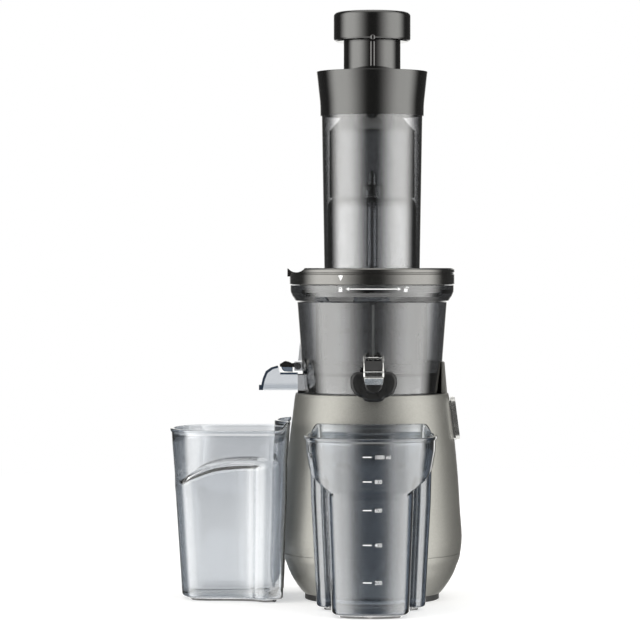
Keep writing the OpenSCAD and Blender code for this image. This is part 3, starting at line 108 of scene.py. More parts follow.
def fresh_tree(name: str) -> tuple[bpy.types.Material, bpy.types.NodeTree]:
    """Makes an empty node material.

    Args:
        name: The material's name.

    Returns:
        The material and its node tree.
    """
    material = bpy.data.materials.new(name)
    material.use_nodes = True
    material.node_tree.nodes.clear()
    return material, material.node_tree


def mottle(tree: bpy.types.NodeTree, size: float, low: float = 0.0, high: float = 1.0, detail: float = 3.0) -> Any:
    """Gives a value that wanders between two bounds over the surface.

    Args:
        tree: The material's node tree.
        size: Size of the patches in millimetres.
        low: Value in the dark patches.
        high: Value in the light patches.
        detail: How many finer octaves the patches carry.

    Returns:
        The output with the value.
    """
    place = add(tree, "TexCoord").outputs["Object"]
    noise = add(tree, "TexNoise", None, {"Vector": place, "Scale": 1 / (size * MM), "Detail": detail})
    bounds = {1: NOISE_LOW, 2: NOISE_HIGH, 3: low, 4: high}
    return add(tree, "MapRange", None, {"Value": noise.outputs["Fac"], **bounds}).outputs["Result"]


def surface(
    tree: bpy.types.NodeTree,
    colours: tuple[str, str],
    share: Any,
    sockets: dict[str | int, Any],
    relief: tuple[Any, float] | None = None,
) -> bpy.types.Node:
    """Builds what all the finishes share: two colours, a gloss and a shallow relief.

    Args:
        tree: The material's node tree.
        colours: Hex colours where the share is 0 and where it is 1.
        share: The output with the share of the second colour.
        sockets: The shader's other inputs.
        relief: The output with the relief's height from 0 to 1, and what 1 stands for in millimetres.

    Returns:
        The shader.
    """
    mix = add(tree, "Mix", {"data_type": "RGBA"}, {0: share, 6: linear(colours[0]), 7: linear(colours[1])})
    inputs = {"Base Color": mix.outputs[2], **sockets}
    if relief:
        bend = add(tree, "Bump", None, {"Height": relief[0], "Distance": relief[1] * MM, "Strength": 1.0})
        inputs["Normal"] = bend.outputs["Normal"]
    return add(tree, "BsdfPrincipled", None, inputs)


@dataclass(frozen=True)
class Finish:
    """A finish that makes its material once, by name."""

    name: str

    def material(self) -> bpy.types.Material:
        """Returns the finish's material, made at its first use."""
        known = bpy.data.materials.get(self.name)
        if known:
            return known
        material, tree = fresh_tree(self.name)
        outside, inside = self.shaders(tree)
        out = add(tree, "OutputMaterial", None, {"Surface": outside.outputs[0]})
        if inside:
            tree.links.new(inside.outputs[0], out.inputs["Volume"])
        return material

    def shaders(self, tree: bpy.types.NodeTree) -> tuple[bpy.types.Node, bpy.types.Node | None]:
        """Builds the shader of the skin and, for a clear finish, of what fills the solid."""
        raise NotImplementedError


@dataclass(frozen=True)
class MetallicPaint(Finish):
    """Sprayed metallic paint over ABS: pigment flakes under a clear binder."""

    colour: str
    flake: str
    roughness: float
    coat: float
    coat_roughness: float
    metallic: float = 0.85
    # Real flakes are 0.05 mm across, far under a pixel, so they are drawn at 0.6 mm
    flake_size: float = 0.6
    # Sizes of the soft clouds in the spray and of the orange peel, and the peel's depth
    cloud_size: float = 24.0
    peel_size: float = 2.4
    peel: float = 0.002

    def shaders(self, tree: bpy.types.NodeTree) -> tuple[bpy.types.Node, None]:
        """Builds the paint, with flakes that vary its colour, clouds in its gloss and a faint orange peel."""
        return surface(tree, (self.colour, self.flake), mottle(tree, self.flake_size, detail=1.0), {
            "Metallic": self.metallic,
            "Roughness": mottle(tree, self.cloud_size, self.roughness * 0.94, self.roughness * 1.06),
            "Coat Weight": self.coat,
            "Coat Roughness": self.coat_roughness,
        }, (mottle(tree, self.peel_size, detail=2.0), self.peel)), None


@dataclass(frozen=True)
class ClearPlastic(Finish):
    """Injection moulded SAN or copolyester, dyed through and polished in the mould."""

    # Share of light that one wall lets through, the wall in millimetres, and the dye's colour
    passes: float
    wall: float
    dye: str
    # Painted shade: colour that a wall tends to where it turns away, standing in for the longer way of light
    # through the dyed wall
    edge: str
    roughness: float
    # Weight of the polished skin over the plastic, and the plastic's index of refraction
    gloss: float = 0.8
    ior: float = 1.55
    # Colour where a wall is seen straight on
    face: str = "#FCFCFC"
    # The skin is given a high index, so that its strip reflections stand out as sharply as on the real walls
    skin_ior: float = 1.9
    skin_roughness: float = 0.03
    # How far a wall has turned away where its painted edge shade starts and where it is full
    edge_shade_from: float = 0.2
    edge_shade_full: float = 0.85
    # Share of a lamp's light that falls through onto what lies behind
    lamp_share: float = 0.92
    mark_size: float = 9.0

    def shaders(self, tree: bpy.types.NodeTree) -> tuple[bpy.types.Node, bpy.types.Node]:
        """Builds the clear moulding, which lets lamps through, with handling marks in its gloss.

        The dye dims light by the length of its way, so walls darken where they are seen edge-on; on top of that,
        the surface colour is painted darker there as painted shade.
        """
        # Painted shade: the surface colour turns to the edge colour where a wall is seen edge-on
        slant = add(tree, "LayerWeight", None, {"Blend": 0.5}).outputs["Facing"]
        edge = add(tree, "MapRange", {"interpolation_type": "SMOOTHSTEP"}, {
            "Value": slant, 1: self.edge_shade_from, 2: self.edge_shade_full})
        body = surface(tree, (self.face, self.edge), edge.outputs["Result"], {
            "Roughness": mottle(tree, self.mark_size, self.roughness * 0.7, self.roughness * 1.5),
            "IOR": self.ior,
            "Transmission Weight": 1.0,
            "Coat Weight": self.gloss,
            "Coat IOR": self.skin_ior,
            "Coat Roughness": self.skin_roughness,
        })
        lamp = add(tree, "BsdfTransparent", None, {"Color": (self.lamp_share,) * 3 + (1,)})
        ray = add(tree, "LightPath").outputs["Is Shadow Ray"]
        dye = add(tree, "VolumeAbsorption", None, {
            "Color": linear(self.dye), "Density": -math.log(self.passes) / (self.wall * MM)})
        return add(tree, "MixShader", None, {0: ray, 1: body.outputs[0], 2: lamp.outputs[0]}), dye


@dataclass(frozen=True)
class Moulding(Finish):
    """Moulded ABS, nylon or acetal, with the grain of a sparked tool."""

    colour: str
    other: str
    roughness: float
    grain: float = 0.8
    depth: float = 0.02
    ior: float = 1.5
    cloud_size: float = 14.0
    wipe_size: float = 5.0

    def shaders(self, tree: bpy.types.NodeTree) -> tuple[bpy.types.Node, None]:
        """Builds the moulding, with a tool grain and slight clouds in its colour and gloss."""
        return surface(tree, (self.colour, self.other), mottle(tree, self.cloud_size), {
            "Roughness": mottle(tree, self.wipe_size, self.roughness * 0.9, self.roughness * 1.1),
            "IOR": self.ior,
        }, (mottle(tree, self.grain, detail=2.0), self.depth)), None


@dataclass(frozen=True)
class Rubber(Finish):
    """Compression moulded rubber or silicone, with a soft bloom."""

    colour: str
    other: str
    roughness: float
    sheen: float
    sheen_roughness: float = 0.4
    grain: float = 0.7
    depth: float = 0.015
    bloom_size: float = 8.0
    wipe_size: float = 4.0

    def shaders(self, tree: bpy.types.NodeTree) -> tuple[bpy.types.Node, None]:
        """Builds the rubber, with fine talc grain and a dusty sheen."""
        return surface(tree, (self.colour, self.other), mottle(tree, self.bloom_size), {
            "Roughness": mottle(tree, self.wipe_size, self.roughness * 0.88, self.roughness * 1.1),
            "Sheen Weight": self.sheen,
            "Sheen Roughness": self.sheen_roughness,
        }, (mottle(tree, self.grain, detail=2.0), self.depth)), None


class Lines(Enum):
    """Which way the fine lines on a metal run."""

    AROUND = "Z"
    CLOUDS = ""


def wave_scale(pitch: float) -> float:
    """Returns the scale of a wave texture whose bands lie a pitch in millimetres apart."""
    return 1 / (pitch * MM) / WAVE_RATE * math.tau


@dataclass(frozen=True)
class Metal(Finish):
    """Bare or plated metal."""

    colour: str
    other: str
    roughness: float
    lines: Lines = Lines.CLOUDS
    # Spacing of turning marks or laminations, drawn no finer than shows
    pitch: float = 1.0
    depth: float = 0.01
    wipe_size: float = 6.0

    def shaders(self, tree: bpy.types.NodeTree) -> tuple[bpy.types.Node, None]:
        """Builds the metal, with turning marks, laminations or cast clouds."""
        if self.lines is Lines.AROUND:
            place = add(tree, "TexCoord").outputs["Object"]
            height = add(tree, "TexWave", {"bands_direction": self.lines.value}, {
                "Vector": place, "Scale": wave_scale(self.pitch), "Distortion": 0.4, "Detail": 1.0}).outputs["Fac"]
        else:
            height = mottle(tree, self.pitch)
        return surface(tree, (self.colour, self.other), height, {
            "Metallic": 1.0,
            "Roughness": mottle(tree, self.wipe_size, self.roughness * 0.85, self.roughness * 1.15),
        }, (height, self.depth)), None


@dataclass(frozen=True)
class Perforated(Finish):
    """Etched stainless sheet: round holes in a grid round a drum."""

    sheet: str
    hole: str
    # Real holes are 0.4 mm on a 0.8 mm pitch, drawn at 1.6 mm so that they show
    pitch: float = 1.6
    drum: float = 42.2
    # Distances from a hole's middle, in pitches, where the hole ends and where the sheet is whole
    hole_edge: Flat = (0.24, 0.3)
    depth: float = 0.01
    wipe_size: float = 5.0
    roughness: Flat = (0.2, 0.28)

    def shaders(self, tree: bpy.types.NodeTree) -> tuple[bpy.types.Node, None]:
        """Builds the strainer sheet, with its holes by angle and height."""
        place = add(tree, "SeparateXYZ", None, {0: add(tree, "TexCoord").outputs["Object"]}).outputs
        turn = add(tree, "Math", {"operation": "ARCTAN2"}, {0: place["Y"], 1: place["X"]}).outputs[0]
        along = add(tree, "Math", {"operation": "MULTIPLY"}, {0: turn, 1: self.drum / self.pitch}).outputs[0]
        up = add(tree, "Math", {"operation": "MULTIPLY"}, {0: place["Z"], 1: 1 / (self.pitch * MM)}).outputs[0]
        grid = add(tree, "CombineXYZ", None, {0: along, 1: up}).outputs[0]
        cells = add(tree, "TexVoronoi", {"voronoi_dimensions": "2D"}, {
            "Vector": grid, "Scale": 1.0, "Randomness": 0.0})
        holes = add(tree, "MapRange", None, {
            "Value": cells.outputs["Distance"], 1: self.hole_edge[0], 2: self.hole_edge[1]}).outputs["Result"]
        return surface(tree, (self.hole, self.sheet), holes, {
            "Metallic": 1.0,
            "Roughness": mottle(tree, self.wipe_size, *self.roughness),
        }, (holes, self.depth)), None


@dataclass(frozen=True)
class Winding(Finish):
    """Enamelled copper wire, wound in layers round the stator's bore."""

    wire: str
    gap: str
    # Real wire is 0.5 mm, drawn at 1.1 mm so that the turns show
    pitch: float = 1.1
    depth: float = 0.3
    enamel: float = 0.4
    # Share of the surface that reads as bare metal through the enamel
    metallic: float = 0.7
    wander: float = 0.6
    wipe_size: float = 3.0
    roughness: Flat = (0.28, 0.4)

    def shaders(self, tree: bpy.types.NodeTree) -> tuple[bpy.types.Node, None]:
        """Builds the winding, with its turns as ridges that run round the axis."""
        place = add(tree, "TexCoord").outputs["Object"]
        lay = {"Vector": place, "Scale": wave_scale(self.pitch), "Distortion": self.wander}
        layers = add(tree, "TexWave", {"bands_direction": "Z"}, lay)
        turns = add(tree, "TexWave", {"wave_type": "RINGS", "rings_direction": "Z"}, lay)
        height = add(tree, "Math", {"operation": "MULTIPLY"}, {
            0: layers.outputs["Fac"], 1: turns.outputs["Fac"]}).outputs[0]
        return surface(tree, (self.gap, self.wire), height, {
            "Metallic": self.metallic,
            "Roughness": mottle(tree, self.wipe_size, *self.roughness),
            "Coat Weight": self.enamel,
        }, (height, self.depth)), None


@dataclass(frozen=True)
class Ink(Finish):
    """Pad-printed ink, a thin opaque film."""

    colour: str
    thin: str = "#DADADA"
    cover_size: float = 1.2
    wipe_size: float = 2.0
    roughness: Flat = (0.42, 0.55)

    def shaders(self, tree: bpy.types.NodeTree) -> tuple[bpy.types.Node, None]:
        """Builds the ink, a little uneven in cover."""
        return surface(tree, (self.colour, self.thin), mottle(tree, self.cover_size, 0.0, 0.5), {
            "Roughness": mottle(tree, self.wipe_size, *self.roughness),
        }), None


# Satin champagne-grey metallic paint on ABS: a soft wide sheen that darkens to the sides
BASE_PAINT = MetallicPaint("satin_champagne_paint", "#84837E", "#96958F", 0.42, 0.15, 0.3, 0.72, peel=0.006)
# Gloss gunmetal paint on ABS: sharp strip reflections with dark gaps between them
GUNMETAL = MetallicPaint("gloss_gunmetal_paint", "#636260", "#6B6A67", 0.15, 0.6, 0.04, 0.95, 0.5)
# The same paint a shade darker, on the hopper's collar and the pusher's cap and stem
CAP_GUNMETAL = MetallicPaint("dark_gloss_gunmetal_paint", "#4C4C4B", "#535352", 0.15, 0.5, 0.04, 0.95, 0.5)
# Smoke tinted SAN of the bowl: dark, with clean reflections on its skin
SMOKE = ClearPlastic("smoke_tinted_san", 0.55, 2.4, "#00263F", "#3A3A40", 0.03)
# The same SAN with less dye, for the feed tube
TUBE_SMOKE = ClearPlastic("light_smoke_san", 0.84, 2.3, "#00263F", "#303034", 0.02, 0.55)
# And with more of it, for the piston, which is seen through the tube and so gets no skin of its own
DARK_SMOKE = ClearPlastic("dark_smoke_san", 0.3, 2.2, "#00263F", "#303034", 0.0, 0.0)
# Smoke SAN of the dome inside the feed tube
DOME_SMOKE = ClearPlastic("dome_smoke_san", 0.5, 2.0, "#00263F", "#28282C", 0.0, 0.3)
# Clear SAN with a trace of smoke, for the pulp outlet's hood: the low index keeps its thin walls pale
PALE_SMOKE = ClearPlastic("pale_smoke_san", 0.8, 2.0, "#00587F", "#A8ACB0", 0.03, 0.5, 1.32)
# Cool clear copolyester of the cups: pale, with darker lines where a wall is seen edge-on, partly from its dye and
# partly painted shade in its colour
CUP_CLEAR = ClearPlastic("cool_clear_copolyester", 0.78, 2.2, "#00587F", "#8A9299", 0.02)
# The same copolyester with more dye, as painted shade: the cup that stands before the base is darkened to stand in
# for the shade on the base behind it
SHADED_JUICE_CUP_CLEAR = ClearPlastic("shaded_juice_cup_copolyester", 0.46, 2.2, "#00587F", "#9AA2A9", 0.02, 1.0)
# Chromed zinc: mirror bright
CHROME = Metal("chromed_zinc", "#D8D8D6", "#E2E2E0", 0.07, pitch=8, depth=0.002)
# Satin nickel plate of the buckle's lip, its pin and the switch's bezel: a soft pale metal
SATIN_NICKEL = Metal("satin_nickel", "#E6E6E3", "#F0F0ED", 0.26, pitch=5, depth=0.004)
# Nitrile rubber: near black and dull
BLACK_RUBBER = Rubber("black_nitrile_rubber", "#101010", "#1A1A1A", 0.42, 0.08)
# Thermoplastic foot rubber: dark grey, duller still
FOOT_RUBBER = Rubber("grey_foot_rubber", "#1E1E1E", "#2A2A2A", 0.6, 0.15)
# Food silicone: milky grey
SILICONE = Rubber("milky_silicone", "#B2B3AE", "#C2C3BE", 0.45, 0.2)
# Glass-filled ABS of the deck: near black with a sparked grain
DECK_ABS = Moulding("dark_sparked_abs", "#262627", "#313132", 0.48)
# Polyetherimide of the auger: warm grey and smooth
AUGER_PEI = Moulding("warm_grey_pei", "#4E4A45", "#5B5751", 0.3, 2.0, 0.01, 1.6)
# ABS of the strainer and wiper cages: dark and semi gloss
CAGE_ABS = Moulding("dark_cage_abs", "#1C1C1E", "#242426", 0.2, 1.2, 0.005)
# Acetal of the gears: ivory and waxy
ACETAL = Moulding("ivory_acetal", "#D6D2C4", "#E2DFD3", 0.38, 1.5, 0.01)
# ABS of the fan and the rocker: black with a fine spark grain
BLACK_ABS = Moulding("black_sparked_abs", "#1B1B1C", "#242425", 0.42)
# Epoxy circuit board under solder mask: green and glossy
BOARD = Moulding("green_solder_mask", "#20512B", "#2F6B3A", 0.3, 3.0, 0.03)
# Turned and ground stainless steel: fine lines round the axis
STEEL = Metal("turned_stainless_steel", "#B4B6B9", "#C9CBCE", 0.22, Lines.AROUND, 1.0, 0.006)
# Sintered bronze: brown, with a grain of its powder
BRONZE = Metal("sintered_bronze", "#8E6C38", "#B58B4A", 0.4, pitch=0.6, depth=0.02)
# Stacked silicon steel sheets of 0.5 mm, drawn at 1.4 mm so that they show: grey, with lines between them
LAMINATIONS = Metal("stacked_core_steel", "#55575B", "#8A8C90", 0.42, Lines.AROUND, 1.4, 0.08)
# Die-cast aluminium alloy, blasted: an even dull grey
CAST = Metal("blasted_cast_aluminium", "#84868A", "#9A9C9F", 0.45, pitch=0.9, depth=0.03)
# Etched stainless sheet of the strainer: a grey that its holes darken
STRAINER_SHEET = Perforated("etched_strainer_sheet", "#5C5D60", "#3C3D40")
# Enamelled copper wire: orange brown ridges with dark gaps
COPPER = Winding("enamelled_copper_wire", "#B5652B", "#4A230E")
# White pad-printing ink of the marks
WHITE_INK = Ink("white_pad_ink", "#F6F6F6")

NODE_FINISHES: dict[str, Finish] = {
    "foot_ring": FOOT_RUBBER, "base_cover": BASE_PAINT, "base_shell": BASE_PAINT, "base_deck": DECK_ABS,
    "switch_bezel": SATIN_NICKEL, "cord_gland": BLACK_RUBBER, "control_board": BOARD, "cover_screws": STEEL,
    "motor_frame": CAST, "motor_bushes": BRONZE, "stator_core": LAMINATIONS, "stator_windings": COPPER,
    "gearbox_ring": ACETAL, "gearbox_cover": CAST, "gearbox_screws": STEEL, "shaft_bearing": STEEL,
    "shaft_seal": BLACK_RUBBER, "rotor_core": LAMINATIONS, "rotor_shaft": STEEL, "cooling_fan": BLACK_ABS,
    "planet_gear_1": ACETAL, "planet_gear_2": ACETAL, "planet_gear_3": ACETAL, "planet_carrier": CAST,
    "drive_shaft": STEEL, "switch_rocker": BLACK_ABS, "juice_bowl": SMOKE, "strainer_frame": CAGE_ABS,
    "strainer_mesh": STRAINER_SHEET, "pulp_plug": SILICONE, "pulp_chute": PALE_SMOKE, "bowl_seal": SILICONE,
    "cap_hinge_pin": SATIN_NICKEL, "lever_pin": STEEL, "idler_post": STEEL, "drip_cap": BLACK_RUBBER,
    "cap_buckle": CHROME, "pulp_lever": GUNMETAL, "idler_gear": ACETAL, "wiper_frame": CAGE_ABS,
    "wiper_blades": SILICONE, "auger_core": AUGER_PEI, "auger_flight": AUGER_PEI, "auger_pin": STEEL,
    "lid_ring": GUNMETAL, "lid_gasket": SILICONE, "feed_tube": TUBE_SMOKE, "hopper_collar": CAP_GUNMETAL,
    "bearing_dome": DOME_SMOKE, "dome_hub": CHROME, "pusher_cap": CAP_GUNMETAL, "pusher_piston": DARK_SMOKE,
    "juice_cup": CUP_CLEAR, "pulp_cup": CUP_CLEAR,
}


def link_mesh(
    name: str, made: bmesh.types.BMesh, finish: Finish, crease: float = CREASE
) -> bpy.types.Object:
    """Turns a built mesh into an object with smooth shading and its finish.

    Args:
        name: The piece's name.
        made: Its mesh, in metres, which is used up.
        finish: Its finish.
        crease: Angle in degrees above which an edge stays sharp.

    Returns:
        The new object.
    """
    bmesh.ops.recalc_face_normals(made, faces=made.faces)
    mesh = bpy.data.meshes.new(name)
    made.to_mesh(mesh)
    made.free()
    mesh.shade_smooth()
    mesh.set_sharp_from_angle(angle=math.radians(crease))
    mesh.materials.append(finish.material())
    piece = bpy.data.objects.new(name, mesh)
    bpy.context.scene.collection.objects.link(piece)
    return piece


def loft(name: str, rings: Sequence[Sequence[Spot]], finish: Finish, crease: float = CREASE) -> bpy.types.Object:
    """Skins closed rings of points, with a flat cap at either end.

    Args:
        name: The piece's name.
        rings: Rings of equal length, in millimetres.
        finish: Its finish.
        crease: Angle in degrees above which an edge stays sharp.

    Returns:
        The new object.
    """
    made = bmesh.new()
    rows = [[made.verts.new(Vector(p) * MM) for p in ring] for ring in rings]
    count = len(rows[0])
    for low, high in zip(rows, rows[1:]):
        for i in range(count):
            j = (i + 1) % count
            made.faces.new((low[i], low[j], high[j], high[i]))
    made.faces.new(rows[0][::-1])
    made.faces.new(rows[-1])
    return link_mesh(name, made, finish, crease)


def placed(piece: bpy.types.Object, body: str, slot: str, *nodes: str) -> None:
    """Puts a piece on its body, in the place of any nodes that it stands for."""
    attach(piece, body)
    if nodes:
        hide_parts(*nodes)
    LOG.info("%s: %d faces", piece.name, len(piece.data.polygons))


def spread(a: float, b: float, steps: int) -> list[float]:
    """Returns steps + 1 even values from a to b."""
    return [a + (b - a) * i / steps for i in range(steps + 1)]


def catmull(a: Flat, b: Flat, c: Flat, d: Flat, t: float) -> Flat:
    """Returns the Catmull-Rom point between b and c at share t."""
    return tuple(
        0.5 * (2 * q + (r - p) * t + (2 * p - 5 * q + 4 * r - s) * t * t + (3 * q - p - 3 * r + s) * t**3)
        for p, q, r, s in zip(a, b, c, d)
    )


def smooth_loop(points: Sequence[Flat], steps: int) -> list[Flat]:
    """Returns a closed outline through all points, with steps points to a span."""
    n = len(points)
    return [
        catmull(points[i - 1], points[i], points[(i + 1) % n], points[(i + 2) % n], k / steps)
        for i in range(n)
        for k in range(steps)
    ]


def moved_in(plan: Sequence[Flat], t: float) -> list[Flat]:
    """Returns a plan moved in along its own normals by t millimetres."""
    moved = []
    for i, (x, y) in enumerate(plan):
        dx = plan[(i + 1) % len(plan)][0] - plan[i - 1][0]
        dy = plan[(i + 1) % len(plan)][1] - plan[i - 1][1]
        long = math.hypot(dx, dy)
        moved.append((x - dy * t / long, y + dx * t / long))
    return moved


def turned(spots: Sequence[Spot], degrees: float) -> list[Spot]:
    """Returns points turned about the drive axis."""
    c, s = math.cos(math.radians(degrees)), math.sin(math.radians(degrees))
    return [(x * c - y * s, x * s + y * c, z) for x, y, z in spots]


def swept(path: Sequence[Spot], radius: float, sides: int = 12) -> list[list[Spot]]:
    """Returns round rings of a wire along a path."""
    points = [Vector(p) for p in path]
    rings, normal = [], None
    for i, p in enumerate(points):
        along = (points[min(i + 1, len(points) - 1)] - points[max(i - 1, 0)]).normalized()
        normal = along.orthogonal() if normal is None else normal
        normal = (normal - along * normal.dot(along)).normalized()
        side = along.cross(normal)
        turns = [math.tau * k / sides for k in range(sides)]
        rings.append([tuple(p + radius * (math.cos(a) * normal + math.sin(a) * side)) for a in turns])
    return rings


@dataclass
class Cup:
    """A cup that stands against the base, with a grip pressed into either side."""

    name: str
    turn: float
    finish: ClearPlastic
    height: float = 145.0
    # How far the rim climbs round the back corners, and where that starts and over what span, in depths
    rise: float = 7.0
    climb_from: float = 0.13
    climb_span: float = 0.11
    width: float = 107.2
    depth: float = 90.0
    wall: float = 2.2
    # Radius of the back wall, which hugs the base
    back: float = 81.0
    # Share by which the plan narrows from rim to foot, and the share of the depth that it narrows about
    draft: float = 0.15
    draft_middle: float = 0.3
    foot: float = 5.0
    floor: float = 2.8
    # Height of the grip's upper edge, its rise to the back and its depth, as shares of the height
    grip_share: float = 0.68
    grip_rise: float = 0.09
    edge_share: float = 0.035
    steps: int = 6

    # Half of the plan at the rim and where the grip is pressed in: share of depth, share of half width
    RIM = [
        (1, 0), (0.984, 0.25), (0.945, 0.46), (0.9, 0.63), (0.838, 0.78), (0.75, 0.885), (0.63, 0.95),
        (0.46, 0.985), (0.3, 1), (0.17, 0.998), (0.06, 0.975), (-0.06, 0.905), (-0.125, 0.79),
    ]
    GRIP = [
        (1, 0), (0.984, 0.25), (0.95, 0.43), (0.907, 0.56), (0.845, 0.64), (0.74, 0.68), (0.57, 0.70),
        (0.38, 0.725), (0.235, 0.785), (0.165, 0.9), (0.06, 0.975), (-0.06, 0.905), (-0.125, 0.79),
    ]
    # Share of the grip's rise at each of those points, and shares of the back wall's half angle
    RISES = [0, 0, 0, 0, 0.3, 0.6, 0.95, 1.12, 1.16, 1.18, 1.18, 1.1, 1.1]
    BACK_STEPS = [0.72, 0.48, 0.24, 0]
    # Rings of the foot's rib: how far each is moved in, and its height
    FOOT_RIB = [
        (9.5, 1.0), (8.6, 0.9), (8.0, 0.2), (7.6, 0.0), (6.2, 0.0), (5.8, 0.2), (5.3, 1.6), (4.2, 2.0),
    ]
    # Rings over the grip's edge: share of the full plan, and height in edges, or in millimetres below it
    BENDS = [(0, -2.4), (0, -1.0), (0.04, 0), (0.2, 0.3), (0.5, 0.5), (0.8, 0.7), (0.96, 1.0)]
    # Rings of the lip: how far each is moved in, and its drop from the rim's top
    LIP = [
        (0, 12), (0, 4.2), (-0.3, 3.4), (-0.75, 2.7), (-0.9, 2.0), (-0.9, 0.9), (-0.7, 0.3), (-0.2, 0.05),
        (0.6, 0.0), (1.5, 0.05), (2.0, 0.3), (2.2, 0.9), (2.2, 4.2), (2.2, 12),
    ]

    def plan(self, shares: Sequence[Flat]) -> list[Flat]:
        """Returns the whole plan, front middle first, from the shares of one half."""
        end = self.RIM[-1]
        corner = math.atan2(end[1] * self.width / 2, self.back + end[0] * self.depth)
        half = [(self.back + a * self.depth, b * self.width / 2) for a, b in shares]
        half += [
            (self.back * math.cos(s * corner), self.back * math.sin(s * corner)) for s in self.BACK_STEPS
        ]
        return half + [(x, -y) for x, y in half[-2:0:-1]]

    def rises(self) -> list[float]:
        """Returns the share of the grip's rise at each point of the smoothed plan."""
        half = self.RISES + [1] * len(self.BACK_STEPS)
        whole = half + half[-2:0:-1]
        return [p[0] for p in smooth_loop([(r, 0.0) for r in whole], self.steps)]

    def drafted(self, plan: Sequence[Flat], z: float) -> list[Flat]:
        """Returns a plan drawn in towards the foot."""
        share = 1 - self.draft * (1 - z / self.height)
        middle = self.back + self.draft_middle * self.depth
        return [(middle + (x - middle) * share, y * share) for x, y in plan]

    def level(self, plan: Sequence[Flat], z: float, t: float) -> list[Spot]:
        """Returns a flat ring at height z, moved in by t."""
        flat = moved_in(smooth_loop(self.drafted(plan, z), self.steps), t)
        return [(x, y, z) for x, y in flat]

    def grip(self, share: float, up: float, t: float) -> list[Spot]:
        """Returns a ring over the grip's edge.

        Args:
            share: 0 for the pressed-in plan and 1 for the full one.
            up: Height above the edge in millimetres.
            t: How far the ring is moved in.

        Returns:
            The ring's points.
        """
        z = self.grip_share * self.height
        full, pressed = self.drafted(self.plan(self.RIM), z), self.drafted(self.plan(self.GRIP), z)
        mixed = [(p[0] + (f[0] - p[0]) * share, p[1] + (f[1] - p[1]) * share) for f, p in zip(full, pressed)]
        flat = moved_in(smooth_loop(mixed, self.steps), t)
        return [(x, y, z + r * self.grip_rise * self.height + up) for (x, y), r in zip(flat, self.rises())]

    def rim(self, t: float, drop: float) -> list[Spot]:
        """Returns a ring of the rim, level from its front and climbing round its back corners."""
        ring = []
        plan = self.drafted(self.plan(self.RIM), self.height - drop)
        for x, y in moved_in(smooth_loop(plan, self.steps), t):
            s = (self.climb_from - (math.hypot(x, y) - self.back) / self.depth) / self.climb_span
            s = min(1.0, max(0.0, s))
            ring.append((x, y, self.height - drop + self.rise * s * s * (3 - 2 * s)))
        return ring

    def outside(self) -> list[list[Spot]]:
        """Returns the rings from under the foot up to the shell's full plan above the grip."""
        pressed, (rib_t, rib_z) = self.plan(self.GRIP), self.FOOT_RIB[-1]
        edge = self.edge_share * self.height
        top = self.grip_share * self.height * 0.9
        rings = [self.level(pressed, z, t) for t, z in self.FOOT_RIB]
        rings += [
            self.level(pressed, rib_z + (self.foot - rib_z) * (1 - math.cos(a)), rib_t * (1 - math.sin(a)))
            for a in spread(0.35, math.pi / 2, 5)
        ]
        rings += [self.level(pressed, z, 0) for z in spread(self.foot * 2, top, 5)]
        rings += [self.grip(s, u * edge if u >= 0 else u, 0) for s, u in self.BENDS]
        return rings + [self.grip(1, edge + 1.2, 0)]

    def inside(self) -> list[list[Spot]]:
        """Returns the rings from the full plan above the grip down to the floor, a wall's thickness in."""
        pressed, t = self.plan(self.GRIP), self.wall
        edge = self.edge_share * self.height
        top = self.grip_share * self.height * 0.88
        rings = [self.grip(1, edge + 1.2 - t / 2, t)]
        rings += [self.grip(s, (u * edge if u >= 0 else u) - t / 2, t) for s, u in reversed(self.BENDS)]
        rings += [self.level(pressed, z, t) for z in spread(top, 2.4 * self.foot, 5)]
        rings += [
            self.level(pressed, self.floor + self.foot * (1 - math.sin(a)), t + self.foot * (1 - math.cos(a)))
            for a in spread(0, math.pi / 2, 6)
        ]
        return rings

    def build(self) -> None:
        """Builds the smooth shell in the place of the faceted one."""
        rings = self.outside() + [self.rim(t, d) for t, d in self.LIP] + self.inside()
        shell = loft(f"{self.name}_shell", [turned(r, self.turn) for r in rings], self.finish, 50)
        placed(shell, self.name, "cup_clear", self.name)

    def front_spot(self, across: float, z: float, out: float) -> Spot:
        """Returns a point on the front wall.

        Args:
            across: Distance from the cup's middle, to the right as seen from the front.
            z: Height.
            out: How far the point stands off the wall.

        Returns:
            The point in the frame of the part.
        """
        plan = moved_in(smooth_loop(self.drafted(self.plan(self.GRIP), z), self.steps), -out)
        side = [p for p in plan if p[0] > self.back + self.depth * 0.6]
        x = max(
            (p[0] + (q[0] - p[0]) * (across - p[1]) / (q[1] - p[1])
             for p, q in zip(side, side[1:] + side[:1])
             if min(p[1], q[1]) <= across <= max(p[1], q[1]) and p[1] != q[1]),
            default=self.back + self.depth,
        )
        return turned([(x, across, z)], self.turn)[0]


def lettering(words: str, tall: float, narrow: float) -> Shape:
    """Sets plain figures flat.

    Args:
        words: The text.
        tall: Height of its capitals in millimetres.
        narrow: Factor on its width.

    Returns:
        Points in millimetres, from the left foot of the first letter, and faces over them.
    """
    curve = bpy.data.curves.new("figures", "FONT")
    curve.body = words
    curve.size = tall / FIGURE_SHARE * MM
    curve.offset = FIGURE_BOLD * tall * MM
    curve.resolution_u = 3
    holder = bpy.data.objects.new("figures", curve)
    bpy.context.scene.collection.objects.link(holder)
    drawn = holder.evaluated_get(bpy.context.evaluated_depsgraph_get()).to_mesh()
    points = [(v.co.x / MM * narrow, v.co.y / MM) for v in drawn.vertices]
    faces = [tuple(p.vertices) for p in drawn.polygons]
    bpy.data.objects.remove(holder)
    bpy.data.curves.remove(curve)
    return points, faces


def strip(x0: float, x1: float, y0: float, y1: float, steps: int = 1) -> Shape:
    """Returns a flat rectangle in steps along x, as points and faces."""
    points = [(x, y) for x in spread(x0, x1, steps) for y in (y0, y1)]
    return points, [(2 * i, 2 * i + 2, 2 * i + 3, 2 * i + 1) for i in range(steps)]


def fan(points: Sequence[Flat]) -> Shape:
    """Returns one flat face over an outline."""
    return list(points), [tuple(range(len(points)))]


